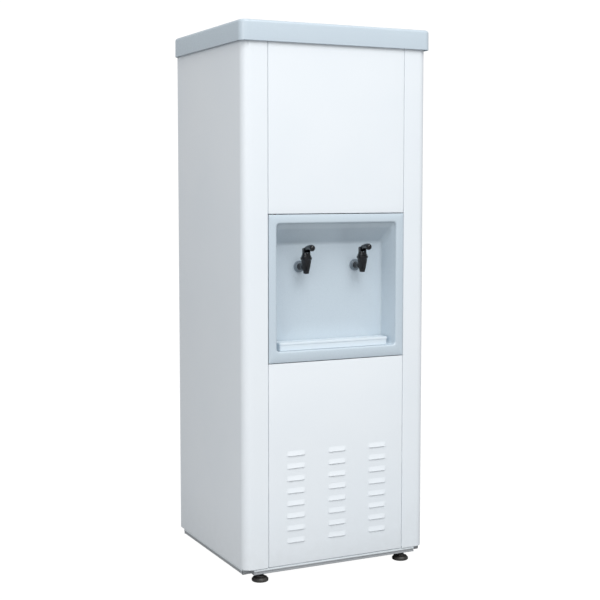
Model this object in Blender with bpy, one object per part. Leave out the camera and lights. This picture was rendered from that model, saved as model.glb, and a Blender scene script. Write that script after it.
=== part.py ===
"""A free-standing two-tap water cooler: a steel cabinet on four levelling feet, with a cup alcove, a cold tank
above it and the refrigeration below. Units are metres, +Z is up and the front faces -Y. The origin is on the
floor, under the middle of the cabinet."""

import math

import bmesh
import bpy
import numpy as np
from mathutils import Matrix, Vector

# Driving dimensions of the cabinet
WIDTH = 0.484
DEPTH = 0.420
HEIGHT = 1.300
REACH = 0.2330
GAP = 0.0003
SHEET = 0.0012
CORNER_RADIUS = 0.022
PANEL_BOTTOM = 0.0355
SIDE_TOP = 1.290
FRONT_TOP = 1.288
SEAM_X = 0.1800
SEAM_GAP = 0.0012
FLANGE = 0.012
REAR_FLANGE = 0.020

# Lid
LID_UNDERSIDE = 1.2522
LID_OVERHANG = 0.0075
LID_WALL = 0.0025
LID_CORNER = 0.018
LID_TOP_WALL = 0.004

# Front edge of the frame and the shelf, behind the bends of the front corners
FRAME_FRONT = -0.186

# Base tray and feet
TRAY_TOP = 0.0350
TRAY_BOTTOM = 0.0215
TRAY_SHEET = 0.0015
NOTCH_X = 0.024
NOTCH_Y = 0.018
FOOT_X = 0.191
FOOT_Y = 0.184
FOOT_RADIUS = 0.020
FOOT_HEIGHT = 0.0145
STUD_RADIUS = 0.004
STUD_TOP = 0.075

# Cup alcove
BEZEL_BOTTOM = 0.5161
BEZEL_TOP = 0.8608
BEZEL_PROUD = 0.001
OPENING_HALF = 0.1582
SILL = 0.5428
OPENING_TOP = 0.8391
ALCOVE_BACK = -0.155
BACK_HALF = 0.1475
CEILING_BACK = 0.790
LINER_WALL = 0.003

# Drip tray
DRIP_HALF = 0.1450
DRIP_FRONT = -0.196
DRIP_BACK = -0.160
DRIP_WALL = 0.002
DRIP_SEAT = 0.0015
DRIP_TOP = 0.5610
GRILLE_THICK = 0.0020
SLOT_WIDTH = 0.0024
SLOT_ROWS = 5
SLOT_COLUMNS = 4

# Louvres of the lower front panel
LOUVRE_PITCH_X = 0.109
LOUVRE_PITCH_Z = 0.02955
LOUVRE_FIRST_Z = 0.0890
LOUVRE_ROWS = 8
LOUVRE_HALF = 0.024
LOUVRE_HEIGHT = 0.0115
LOUVRE_PROUD = 0.0045

# Taps
TAP_X = 0.075
STEM_Z = 0.7360
BARREL_Y = -0.194
STEM_RADIUS = 0.0065
STEM_BORE = 0.0035
STEM_END = -0.100
SPOUT_Z = 0.7210
BODY_TOP = 0.7605
CHAMBER_RADIUS = 0.0095
CHAMBER_FLOOR = 0.7340
BONNET_TOP = 0.7690
PIN_Z = 0.7760
PIN_RADIUS = 0.0015
EAR_RADIUS = 0.0056
LEVER_HALF = 0.006
LEVER_TIP_RADIUS = 0.0072
HUB_RADIUS = 0.0055
PLUNGER_RADIUS = 0.0022
PLUNGER_TOP = 0.7710

# Cold tank and its cooling jacket
TANK_Y = 0.005
TANK_RADIUS = 0.130
TANK_BOTTOM = 0.925
TANK_TOP = 1.215
TANK_SHEET = 0.001
SHELF_TOP = 0.884
FOAM_RADIUS = 0.172
FOAM_INNER = 0.142
COIL_RADIUS = 0.1365
COIL_TUBE = 0.0042
COIL_TURNS = 4
COIL_BOTTOM = 0.955
COIL_TOP = 1.185
OUTLET_X = 0.050
OUTLET_Y = -0.060
OUTLET_RADIUS = 0.007
OUTLET_END = 0.870
HOSE_RADIUS = 0.0062

# Float valve
VALVE_X = -0.040
VALVE_Y = 0.030
FLOAT_PIVOT_Z = 1.180
FLOAT_HUB_Y = 0.0435
FLOAT_DROOP = math.radians(25)
FLOAT_ARM = 0.058
FLOAT_RADIUS = 0.026

# Cooling deck
FAN_Z = 0.210
FAN_RADIUS = 0.078
SHROUD_HOLE = 0.083
SHROUD_FRONT = -0.1485
SHROUD_REAR = -0.0990
COMPRESSOR_Y = 0.100
COMPRESSOR_RADIUS = 0.080
KNOB_X = 0.120
KNOB_Z = 0.420

# Back panel and what passes through it
BACK_OUTER = 0.2085
BACK_INNER = 0.2073
INLET_X = -0.150
INLET_Z = 1.120
DRAIN_Z = 0.860
GLAND_X = 0.150
GLAND_Z = 0.100

WELD = 0.00001

HALF_WIDTH = WIDTH / 2
HALF_DEPTH = DEPTH / 2

FINISHES = {
    "cabinet_white": ((0.83, 0.86, 0.88), 0.38, 0.0),
    "moulding_blue_grey": ((0.56, 0.64, 0.70), 0.30, 0.0),
    "tray_white": ((0.74, 0.80, 0.84), 0.32, 0.0),
    "base_grey": ((0.33, 0.36, 0.38), 0.45, 0.6),
    "tap_black": ((0.015, 0.016, 0.018), 0.25, 0.0),
    "rosette_grey": ((0.30, 0.36, 0.40), 0.35, 0.0),
    "foot_rubber": ((0.02, 0.02, 0.022), 0.70, 0.0),
    "zinc_steel": ((0.62, 0.62, 0.60), 0.35, 1.0),
    "stainless": ((0.70, 0.71, 0.72), 0.25, 1.0),
    "foam": ((0.86, 0.80, 0.62), 0.85, 0.0),
    "copper": ((0.80, 0.42, 0.26), 0.30, 1.0),
    "brass": ((0.78, 0.60, 0.30), 0.30, 1.0),
    "silicone": ((0.80, 0.82, 0.82), 0.55, 0.0),
    "motor_black": ((0.03, 0.03, 0.035), 0.45, 0.2),
    "fan_grey": ((0.18, 0.19, 0.20), 0.50, 0.0),
    "aluminium_fin": ((0.75, 0.76, 0.77), 0.35, 1.0),
}


def clear_scene():
    """Removes whatever the file starts with."""
    for obj in list(bpy.data.objects):
        bpy.data.objects.remove(obj, do_unlink=True)


def finish_material(name):
    """The Principled material of one finish, made once."""
    found = bpy.data.materials.get(name)
    if found:
        return found
    colour, roughness, metallic = FINISHES[name]
    made = bpy.data.materials.new(name)
    made.use_nodes = True
    shader = made.node_tree.nodes["Principled BSDF"]
    shader.inputs["Base Color"].default_value = (*colour, 1.0)
    shader.inputs["Roughness"].default_value = roughness
    shader.inputs["Metallic"].default_value = metallic
    return made


def place(axis, u, v, along):
    """A point from two coordinates in a plane and one along the axis that crosses it."""
    return {"X": (along, u, v), "Y": (u, along, v), "Z": (u, v, along)}[axis]


def add_loft(bm, loops):
    """Bridges loops of equal length into one closed skin with a flat face at each end."""
    rings = [[bm.verts.new(point) for point in loop] for loop in loops]
    bm.faces.new(rings[0])
    bm.faces.new(rings[-1])
    for low, high in zip(rings, rings[1:]):
        for i in range(len(low)):
            j = (i + 1) % len(low)
            bm.faces.new((low[i], low[j], high[j], high[i]))


def add_prism(bm, outline, axis, low, high):
    """A flat outline carried straight along an axis."""
    add_loft(bm, [[place(axis, u, v, along) for u, v in outline] for along in (low, high)])


def add_box(bm, low, high):
    """A box from its lowest and highest corners."""
    outline = [(low[0], low[1]), (high[0], low[1]), (high[0], high[1]), (low[0], high[1])]
    add_prism(bm, outline, "Z", low[2], high[2])


def add_turned(bm, profile, axis, centre, segments=24, ring=False):
    """Spins (radius, along) points about an axis; a ring profile closes on itself, others end on the axis."""
    u, v = centre
    verts = [bm.verts.new(place(axis, u + radius, v, along)) for radius, along in profile]
    pairs = list(zip(verts, verts[1:]))
    if ring:
        pairs.append((verts[-1], verts[0]))
    edges = [bm.edges.new(pair) for pair in pairs]
    bmesh.ops.spin(
        bm,
        geom=verts + edges,
        cent=place(axis, u, v, 0.0),
        axis=place(axis, 0.0, 0.0, 1.0),
        angle=math.tau,
        steps=segments,
        use_merge=True,
    )


def make(name, bm, finish=None):
    """Turns a bmesh into an object. Without a finish it is a cutter, which stays out of the model."""
    bmesh.ops.remove_doubles(bm, verts=bm.verts, dist=WELD)
    bmesh.ops.recalc_face_normals(bm, faces=bm.faces)
    mesh = bpy.data.meshes.new(name)
    bm.to_mesh(mesh)
    bm.free()
    mesh.shade_smooth()
    mesh.set_sharp_from_angle(angle=math.radians(35))
    obj = bpy.data.objects.new(name, mesh)
    bpy.context.scene.collection.objects.link(obj)
    if finish:
        mesh.materials.append(finish_material(finish))
    else:
        obj.hide_render = True
        obj.display_type = "WIRE"
    return obj


def box(name, low, high, finish=None):
    bm = bmesh.new()
    add_box(bm, low, high)
    return make(name, bm, finish)


def prism(name, outline, axis, low, high, finish=None):
    bm = bmesh.new()
    add_prism(bm, outline, axis, low, high)
    return make(name, bm, finish)


def turned(name, profile, axis, centre, finish=None, segments=24, ring=False):
    bm = bmesh.new()
    add_turned(bm, profile, axis, centre, segments, ring)
    return make(name, bm, finish)


def rod(name, radius, axis, centre, low, high, finish=None, segments=24):
    """A plain round bar."""
    profile = [(0.0, low), (radius, low), (radius, high), (0.0, high)]
    return turned(name, profile, axis, centre, finish, segments)


def change(obj, tool, operation):
    """Adds an exact Boolean, and keeps its tool as a hidden cutter."""
    modifier = obj.modifiers.new(tool.name, "BOOLEAN")
    modifier.operation = operation
    modifier.solver = "EXACT"
    modifier.object = tool


def cut(obj, tool):
    change(obj, tool, "DIFFERENCE")


def join(obj, tool):
    change(obj, tool, "UNION")


def set_origin(obj, point):
    """Moves an object's origin onto its joint without moving its shape."""
    obj.data.transform(Matrix.Translation(-Vector(point)))
    obj.location = point


def arc(centre, radius, start, end, steps):
    """Points on a circle from one angle to another, in degrees."""
    angles = np.radians(np.linspace(start, end, steps + 1))
    return [(centre[0] + radius * math.cos(a), centre[1] + radius * math.sin(a)) for a in angles]


def rounded_rectangle(half_x, half_y, radius, steps=6):
    """A rectangle about the origin with its four corners rounded."""
    outline = []
    for turn, (sx, sy) in enumerate(((1, 1), (-1, 1), (-1, -1), (1, -1))):
        centre = (sx * (half_x - radius), sy * (half_y - radius))
        outline += arc(centre, radius, 90 * turn, 90 * turn + 90, steps)
    return outline


def smooth_route(points, per_span=6):
    """A Catmull-Rom curve through the route's points."""
    p = np.array(points, float)
    padded = np.vstack([2 * p[0] - p[1], p, 2 * p[-1] - p[-2]])
    route = []
    for a, b, c, d in zip(padded, padded[1:], padded[2:], padded[3:]):
        for t in np.linspace(0, 1, per_span, endpoint=False):
            route.append(
                0.5 * (2 * b + (c - a) * t + (2 * a - 5 * b + 4 * c - d) * t**2
                       + (3 * b - a - 3 * c + d) * t**3)
            )
    route.append(p[-1])
    return route


def tube(name, points, radius, finish, resolution=1):
    """A solid round tube along a line of points."""
    curve = bpy.data.curves.new(name, "CURVE")
    curve.dimensions = "3D"
    curve.bevel_depth = radius
    curve.bevel_resolution = resolution
    curve.use_fill_caps = True
    curve.render_resolution_u = 0
    spline = curve.splines.new("POLY")
    spline.points.add(len(points) - 1)
    for point, position in zip(spline.points, points):
        point.co = (*position, 1.0)
    curve.materials.append(finish_material(finish))
    obj = bpy.data.objects.new(name, curve)
    bpy.context.scene.collection.objects.link(obj)
    return obj


def side_panel(side, name):
    """A side wall that wraps round the front corner as a pillar and turns in at the seam and at the rear."""
    inner = CORNER_RADIUS - SHEET
    bend = (HALF_WIDTH - CORNER_RADIUS, -HALF_DEPTH + CORNER_RADIUS)
    outline = [(HALF_WIDTH - REAR_FLANGE, HALF_DEPTH), (HALF_WIDTH, HALF_DEPTH)]
    outline += arc(bend, CORNER_RADIUS, 0, -90, 8)
    outline += [(SEAM_X, -HALF_DEPTH), (SEAM_X, -HALF_DEPTH + FLANGE)]
    outline += [(SEAM_X + SHEET, -HALF_DEPTH + FLANGE), (SEAM_X + SHEET, -HALF_DEPTH + SHEET)]
    outline += arc(bend, inner, -90, 0, 8)
    outline += [(HALF_WIDTH - SHEET, HALF_DEPTH - SHEET), (HALF_WIDTH - REAR_FLANGE, HALF_DEPTH - SHEET)]
    mirrored = [(side * x, y) for x, y in outline]
    return prism(name, mirrored, "Z", PANEL_BOTTOM, SIDE_TOP, "cabinet_white")


def front_pan(name, bottom, top):
    """A flat front panel with its four edges folded back."""
    half = SEAM_X - SEAM_GAP
    panel = box(name, (-half, -HALF_DEPTH, bottom), (half, -HALF_DEPTH + FLANGE, top), "cabinet_white")
    low = (-half + SHEET, -HALF_DEPTH + SHEET, bottom + SHEET)
    high = (half - SHEET, 0.0, top - SHEET)
    cut(panel, box(name + "_hollow", low, high))
    return panel


def lower_front_panel():
    """The lower front panel, with three columns of pressed louvres that open downwards."""
    panel = front_pan("lower_front_panel", PANEL_BOTTOM + GAP, BEZEL_BOTTOM - SEAM_GAP)
    hoods = bmesh.new()
    slots = bmesh.new()
    skin = -HALF_DEPTH
    inset = SHEET * 1.2
    for column in (-1, 0, 1):
        x = column * LOUVRE_PITCH_X
        for row in range(LOUVRE_ROWS):
            z = LOUVRE_FIRST_Z + row * LOUVRE_PITCH_Z
            hood = [
                (skin + SHEET / 2, z),
                (skin - LOUVRE_PROUD, z),
                (skin - LOUVRE_PROUD * 0.55, z + LOUVRE_HEIGHT * 0.7),
                (skin + SHEET / 2, z + LOUVRE_HEIGHT),
            ]
            slot = [
                (skin + 2 * SHEET, z - SHEET),
                (skin - LOUVRE_PROUD + SHEET, z - SHEET),
                (skin - LOUVRE_PROUD * 0.55 + SHEET, z + LOUVRE_HEIGHT * 0.6),
                (skin + 2 * SHEET, z + LOUVRE_HEIGHT * 0.8),
            ]
            add_prism(hoods, hood, "X", x - LOUVRE_HALF, x + LOUVRE_HALF)
            add_prism(slots, slot, "X", x - LOUVRE_HALF + inset, x + LOUVRE_HALF - inset)
    join(panel, make("louvre_hoods", hoods))
    cut(panel, make("louvre_slots", slots))
    return panel


def back_panel():
    """The rear sheet, held inside the side panels' flanges, with vent slots and service holes."""
    half = HALF_WIDTH - SHEET - GAP * 2
    panel = box("back_panel", (-half, BACK_INNER, PANEL_BOTTOM + GAP), (half, BACK_OUTER, FRONT_TOP),
                "cabinet_white")
    slots = bmesh.new()
    for column in (-1, 0, 1):
        for row in range(8):
            x = column * 0.095
            z = 0.130 + row * 0.024
            add_box(slots, (x - 0.034, BACK_INNER - 0.01, z), (x + 0.034, BACK_OUTER + 0.01, z + 0.007))
    cut(panel, make("vent_slots", slots))
    holes = bmesh.new()
    for x, z, radius in ((INLET_X, INLET_Z, 0.0079), (INLET_X, DRAIN_Z, 0.0079),
                         (GLAND_X, GLAND_Z, 0.0082), (KNOB_X, KNOB_Z, 0.0045)):
        profile = [(0.0, BACK_INNER - 0.01), (radius, BACK_INNER - 0.01),
                   (radius, BACK_OUTER + 0.01), (0.0, BACK_OUTER + 0.01)]
        add_turned(holes, profile, "Y", (x, z), 20)
    cut(panel, make("service_holes", holes))
    return panel


def base_tray():
    """A folded steel tray notched at its corners, with a hole for each foot's stud."""
    half_x, half_y = HALF_WIDTH - 0.002, HALF_DEPTH - 0.002
    tray = box("base_tray", (-half_x, -half_y, TRAY_BOTTOM), (half_x, half_y, TRAY_TOP), "base_grey")
    plate = TRAY_TOP - TRAY_SHEET
    low = (-half_x + TRAY_SHEET, -half_y + TRAY_SHEET, 0.0)
    cut(tray, box("tray_hollow", low, (half_x - TRAY_SHEET, half_y - TRAY_SHEET, plate)))
    notches = bmesh.new()
    holes = bmesh.new()
    for sx in (-1, 1):
        for sy in (-1, 1):
            x0, x1 = sorted((sx * (half_x - NOTCH_X), sx * HALF_WIDTH))
            y0, y1 = sorted((sy * (half_y - NOTCH_Y), sy * HALF_DEPTH))
            add_box(notches, (x0, y0, 0.0), (x1, y1, TRAY_TOP + 0.01))
            radius = STUD_RADIUS + 2 * GAP
            profile = [(0.0, 0.02), (radius, 0.02), (radius, 0.05), (0.0, 0.05)]
            add_turned(holes, profile, "Z", (sx * FOOT_X, sy * FOOT_Y), 16)
    cut(tray, make("tray_notches", notches))
    cut(tray, make("stud_holes", holes))
    return tray


def top_frame():
    """A folded ring inside the top of the panels, which carries the lid."""
    top = HEIGHT - LID_TOP_WALL - GAP
    bottom = top - 0.025
    half_x, front, rear = HALF_WIDTH - SHEET - 3 * GAP, FRAME_FRONT, BACK_INNER - 2 * GAP
    rim = 0.035
    frame = box("top_frame", (-half_x, front, bottom), (half_x, rear, top), "zinc_steel")
    cut(frame, box("frame_pocket", (-half_x + SHEET, front + SHEET, bottom - 0.01),
                   (half_x - SHEET, rear - SHEET, top - SHEET)))
    cut(frame, box("frame_opening", (-half_x + rim, front + rim, bottom - 0.01),
                   (half_x - rim, rear - rim, top + 0.01)))
    return frame


def top_cover():
    """The moulded lid: an upturned shell with rounded corners and a softly rounded top edge."""
    half_x, half_y = HALF_WIDTH + LID_OVERHANG, HALF_DEPTH + LID_OVERHANG
    levels = ((0.0, LID_UNDERSIDE), (0.0, HEIGHT - 0.006), (0.0018, HEIGHT - 0.0018), (0.006, HEIGHT))
    bm = bmesh.new()
    add_loft(bm, [
        [(x, y, z) for x, y in rounded_rectangle(half_x - inset, half_y - inset, LID_CORNER - inset)]
        for inset, z in levels
    ])
    lid = make("top_cover", bm, "moulding_blue_grey")
    inner = rounded_rectangle(half_x - LID_WALL, half_y - LID_WALL, LID_CORNER - LID_WALL)
    cut(lid, prism("lid_hollow", inner, "Z", LID_UNDERSIDE - 0.01, HEIGHT - LID_TOP_WALL))
    set_origin(lid, (0.0, 0.0, LID_UNDERSIDE))
    return lid


def alcove_loops(grow, front, back):
    """Loops of the recess at the front and the back, grown outwards by a wall thickness."""
    depth = -HALF_DEPTH - ALCOVE_BACK
    loops = []
    for y in (front, back):
        share = min(1.0, max(0.0, (-HALF_DEPTH - y) / depth))
        half = OPENING_HALF + (BACK_HALF - OPENING_HALF) * share + grow
        top = OPENING_TOP + (CEILING_BACK - OPENING_TOP) * share + grow
        bottom = SILL - grow
        loops.append([(-half, y, bottom), (half, y, bottom), (half, y, top), (-half, y, top)])
    return loops


def alcove_liner():
    """The moulded recess for cups, with its bezel, a sloping ceiling, two tap holes and a seat for the tray."""
    bm = bmesh.new()
    add_loft(bm, alcove_loops(LINER_WALL, -HALF_DEPTH + GAP, ALCOVE_BACK + LINER_WALL))
    liner = make("alcove_liner", bm, "moulding_blue_grey")
    half = SEAM_X - SEAM_GAP
    front = -HALF_DEPTH - BEZEL_PROUD
    join(liner, box("bezel", (-half, front, BEZEL_BOTTOM), (half, front + LINER_WALL, BEZEL_TOP)))
    cavity = bmesh.new()
    loops = alcove_loops(0.0, -HALF_DEPTH, ALCOVE_BACK)
    ahead = [(x, y - 0.02, z) for x, y, z in loops[0]]
    add_loft(cavity, [ahead, *loops])
    cut(liner, make("recess", cavity))
    seat = 2 * GAP
    low = (-DRIP_HALF - seat, DRIP_FRONT - seat, SILL - DRIP_SEAT)
    cut(liner, box("tray_seat", low, (DRIP_HALF + seat, DRIP_BACK + seat, SILL + 0.01)))
    for side in (-1, 1):
        cut(liner, rod(f"tap_hole_{side}", STEM_RADIUS + GAP, "Y", (side * TAP_X, STEM_Z),
                       ALCOVE_BACK - 0.01, ALCOVE_BACK + 0.01))
    return liner


def drip_tray():
    """A shallow open tray with a ledge round the inside for its grille."""
    bottom = SILL - DRIP_SEAT + GAP
    tray = box("drip_tray", (-DRIP_HALF, DRIP_FRONT, bottom), (DRIP_HALF, DRIP_BACK, DRIP_TOP), "tray_white")
    cut(tray, box("tray_basin", (-DRIP_HALF + 2 * DRIP_WALL, DRIP_FRONT + 2 * DRIP_WALL, bottom + DRIP_WALL),
                  (DRIP_HALF - 2 * DRIP_WALL, DRIP_BACK - 2 * DRIP_WALL, DRIP_TOP + 0.01)))
    cut(tray, box("tray_ledge", (-DRIP_HALF + DRIP_WALL, DRIP_FRONT + DRIP_WALL, DRIP_TOP - GRILLE_THICK - GAP),
                  (DRIP_HALF - DRIP_WALL, DRIP_BACK - DRIP_WALL, DRIP_TOP + 0.01)))
    set_origin(tray, (0.0, (DRIP_FRONT + DRIP_BACK) / 2, bottom))
    return tray


def drip_grille():
    """The slotted plate on the tray, with long narrow slots from side to side."""
    edge = DRIP_WALL + GAP
    low = (-DRIP_HALF + edge, DRIP_FRONT + edge, DRIP_TOP - GRILLE_THICK)
    high = (DRIP_HALF - edge, DRIP_BACK - edge, DRIP_TOP)
    grille = box("drip_grille", low, high, "tray_white")
    slots = bmesh.new()
    length = 2 * DRIP_HALF / SLOT_COLUMNS - 0.012
    pitch = (high[1] - low[1]) / (SLOT_ROWS + 0.6)
    for column in range(SLOT_COLUMNS):
        x = (column - (SLOT_COLUMNS - 1) / 2) * (length + 0.008)
        for row in range(SLOT_ROWS):
            y = (low[1] + high[1]) / 2 + (row - (SLOT_ROWS - 1) / 2) * pitch
            add_box(slots, (x - length / 2, y - SLOT_WIDTH / 2, low[2] - 0.005),
                    (x + length / 2, y + SLOT_WIDTH / 2, high[2] + 0.005))
    cut(grille, make("grille_slots", slots))
    set_origin(grille, (0.0, (DRIP_FRONT + DRIP_BACK) / 2, low[2]))
    return grille


def foot(name, x, y):
    """A levelling foot: a moulded pad on a steel stud, which screws up and down in the base tray."""
    pad = [(0.0, 0.0), (FOOT_RADIUS - 0.0015, 0.0), (FOOT_RADIUS, 0.0015), (FOOT_RADIUS, 0.006),
           (FOOT_RADIUS - 0.0035, 0.0095), (0.010, 0.011), (0.009, FOOT_HEIGHT), (0.0, FOOT_HEIGHT)]
    set_origin(turned("foot_pad_" + name, pad, "Z", (x, y), "foot_rubber", 20), (x, y, 0.0))
    stud = rod("foot_stud_" + name, STUD_RADIUS, "Z", (x, y), FOOT_HEIGHT + GAP, STUD_TOP, "zinc_steel", 16)
    set_origin(stud, (x, y, 0.0))


def tap_body(side_x, suffix):
    """The barrel and spout, open at both ends, with a shank that passes through the alcove's back wall."""
    barrel = [(0.0, SPOUT_Z), (0.0062, SPOUT_Z), (0.0090, 0.7345), (0.0121, 0.7540), (0.0137, 0.7555),
              (0.0137, BODY_TOP), (0.0, BODY_TOP)]
    body = turned("tap_body_" + suffix, barrel, "Z", (side_x, BARREL_Y), "tap_black")
    join(body, rod("shank_" + suffix, STEM_RADIUS, "Y", (side_x, STEM_Z), BARREL_Y + 0.004, STEM_END))
    bore = [(0.0, SPOUT_Z - 0.01), (0.0042, SPOUT_Z - 0.01), (0.0042, CHAMBER_FLOOR - 0.002),
            (CHAMBER_RADIUS - 0.003, CHAMBER_FLOOR), (CHAMBER_RADIUS - 0.002, 0.7395),
            (CHAMBER_RADIUS, 0.7435), (CHAMBER_RADIUS, BODY_TOP + 0.01), (0.0, BODY_TOP + 0.01)]
    cut(body, turned("chamber_" + suffix, bore, "Z", (side_x, BARREL_Y)))
    cut(body, rod("waterway_" + suffix, STEM_BORE, "Y", (side_x, STEM_Z + 0.0015), BARREL_Y, STEM_END + 0.01,
                  segments=16))


def tap_bonnet(side_x, suffix):
    """The cap that closes the chamber, with two ears for the lever's pin."""
    ring = [(0.0030, BODY_TOP + GAP), (0.0120, BODY_TOP + GAP), (0.0112, 0.7635), (0.0096, 0.7650),
            (0.0092, BONNET_TOP), (0.0030, BONNET_TOP)]
    bonnet = turned("tap_bonnet_" + suffix, ring, "Z", (side_x, BARREL_Y), "tap_black", ring=True)
    ear = [(BARREL_Y - EAR_RADIUS, BONNET_TOP - 0.002), (BARREL_Y + EAR_RADIUS, BONNET_TOP - 0.002)]
    ear += arc((BARREL_Y, PIN_Z), EAR_RADIUS, 0, 180, 8)
    for sign in (-1, 1):
        near, far = sorted((side_x + sign * (LEVER_HALF + 0.0004), side_x + sign * (LEVER_HALF + 0.0022)))
        join(bonnet, prism(f"ear_{suffix}_{sign}", ear, "X", near, far))
    cut(bonnet, rod("pin_hole_" + suffix, PIN_RADIUS + GAP, "X", (BARREL_Y, PIN_Z), side_x - 0.01, side_x + 0.01,
                    segments=16))


def lever_outline():
    """The lever's side view: a round hub, a neck that rises and bends forward, and a rounded tip."""
    start, middle = np.array((0.0, 0.0)), np.array((-0.002, 0.0125))
    end = np.array((-(REACH + BARREL_Y) + LEVER_TIP_RADIUS, 0.0062))
    upper, lower = [], []
    for t in np.linspace(0.25, 1.0, 9):
        point = (1 - t) ** 2 * start + 2 * t * (1 - t) * middle + t**2 * end
        slope = 2 * (1 - t) * (middle - start) + 2 * t * (end - middle)
        normal = np.array((slope[1], -slope[0])) / np.linalg.norm(slope)
        half = HUB_RADIUS + (LEVER_TIP_RADIUS - HUB_RADIUS) * t
        upper.append(tuple(point + normal * half))
        lower.append(tuple(point - normal * half))
    tip_angle = math.degrees(math.atan2(*(np.array(upper[-1]) - end)[::-1]))
    tip = arc(end, LEVER_TIP_RADIUS, tip_angle, tip_angle + 180, 8)[1:-1]
    hub = arc((0.0, 0.0), HUB_RADIUS, 210, 380, 10)
    return [(y + BARREL_Y, z + PIN_Z) for y, z in upper + tip + lower[::-1] + hub]


def tap_lever(side_x, suffix):
    """The lever, forked over the plunger and bored for its pin."""
    lever = prism("tap_lever_" + suffix, lever_outline(), "X", side_x - LEVER_HALF, side_x + LEVER_HALF,
                  "tap_black")
    cut(lever, rod("lever_bore_" + suffix, PIN_RADIUS + GAP, "X", (BARREL_Y, PIN_Z), side_x - 0.01,
                   side_x + 0.01, segments=16))
    cut(lever, box("lever_fork_" + suffix, (side_x - 0.0027, BARREL_Y - 0.0058, PIN_Z - 0.01),
                   (side_x + 0.0027, BARREL_Y + 0.01, PIN_Z - 0.0009)))
    set_origin(lever, (side_x, BARREL_Y, PIN_Z))


def tap_inner_parts(side_x, suffix):
    """The pin, plunger, seat cup and spring inside the tap, and the rosette and nut on its shank."""
    centre = (side_x, BARREL_Y)
    half = LEVER_HALF + 0.0021
    rod("tap_pin_" + suffix, PIN_RADIUS, "X", (BARREL_Y, PIN_Z), side_x - half, side_x + half, "zinc_steel", 16)
    stem = [(0.0, 0.7403), (0.0062, 0.7403), (0.0062, 0.7420), (PLUNGER_RADIUS, 0.7420),
            (PLUNGER_RADIUS, PLUNGER_TOP), (0.0, PLUNGER_TOP)]
    set_origin(turned("tap_plunger_" + suffix, stem, "Z", centre, "tap_black", 16), (*centre, 0.7403))
    cup = [(0.0, 0.7347), (0.0058, 0.7347), (0.0064, 0.7370), (0.0064, 0.7400), (0.0, 0.7400)]
    set_origin(turned("tap_seat_" + suffix, cup, "Z", centre, "silicone", 16), (*centre, 0.7403))
    turns, wire, radius = 5, 0.0006, 0.0050
    low, high = 0.7420 + wire + GAP, BODY_TOP - wire
    count = turns * 9
    coil = [
        (side_x + radius * math.cos(math.tau * turns * i / count),
         BARREL_Y + radius * math.sin(math.tau * turns * i / count),
         low + (high - low) * i / count)
        for i in range(count + 1)
    ]
    tube("tap_spring_" + suffix, coil, wire, "zinc_steel", 0)
    hole = STEM_RADIUS + GAP
    wall = ALCOVE_BACK - GAP
    rosette = [(hole, wall), (0.0140, wall), (0.0137, wall - 0.002), (0.0110, wall - 0.0042),
               (hole, wall - 0.005)]
    turned("tap_rosette_" + suffix, rosette, "Y", (side_x, STEM_Z), "rosette_grey", 28, ring=True)
    rear = ALCOVE_BACK + LINER_WALL + GAP
    nut = rod("tap_nut_" + suffix, 0.0125, "Y", (side_x, STEM_Z), rear, rear + 0.008, "zinc_steel", 6)
    cut(nut, rod("nut_bore_" + suffix, hole, "Y", (side_x, STEM_Z), rear - 0.01, rear + 0.02))


def tank_shelf():
    """A channel across the cabinet that carries the insulated tank."""
    half = HALF_WIDTH - SHEET - 2 * GAP
    drop = SHELF_TOP - 0.015
    outline = [(-half, drop), (-half + SHEET, drop), (-half + SHEET, SHELF_TOP - SHEET),
               (half - SHEET, SHELF_TOP - SHEET), (half - SHEET, drop), (half, drop),
               (half, SHELF_TOP), (-half, SHELF_TOP)]
    shelf = prism("tank_shelf", outline, "Y", FRAME_FRONT, 0.206, "zinc_steel")
    cut(shelf, make("shelf_holes", pipe_holes(SHELF_TOP - 0.01, SHELF_TOP + 0.01)))


def pipe_holes(low, high):
    """Cutters for the two tank outlets and the coil's tail, between two heights."""
    bm = bmesh.new()
    for x, y, radius in ((-OUTLET_X, OUTLET_Y, OUTLET_RADIUS), (OUTLET_X, OUTLET_Y, OUTLET_RADIUS),
                         (0.0, TANK_Y + COIL_RADIUS, COIL_TUBE)):
        clear = radius + 3 * GAP
        add_turned(bm, [(0.0, low), (clear, low), (clear, high), (0.0, high)], "Z", (x, y), 16)
    return bm


def cold_tank():
    """A stainless drum, open at the top, with two outlet stubs under its floor."""
    floor = TANK_BOTTOM + TANK_SHEET
    wall = [(0.0, TANK_BOTTOM), (TANK_RADIUS, TANK_BOTTOM), (TANK_RADIUS, TANK_TOP),
            (TANK_RADIUS - TANK_SHEET, TANK_TOP), (TANK_RADIUS - TANK_SHEET, floor), (0.0, floor)]
    tank = turned("cold_tank", wall, "Z", (0.0, TANK_Y), "stainless", 40)
    for side in (-1, 1):
        centre = (side * OUTLET_X, OUTLET_Y)
        join(tank, rod(f"stub_{side}", OUTLET_RADIUS, "Z", centre, OUTLET_END, floor - GAP, segments=16))
        cut(tank, rod(f"stub_bore_{side}", OUTLET_RADIUS - 0.0015, "Z", centre, OUTLET_END - 0.01, floor + 0.01,
                      segments=16))


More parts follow.
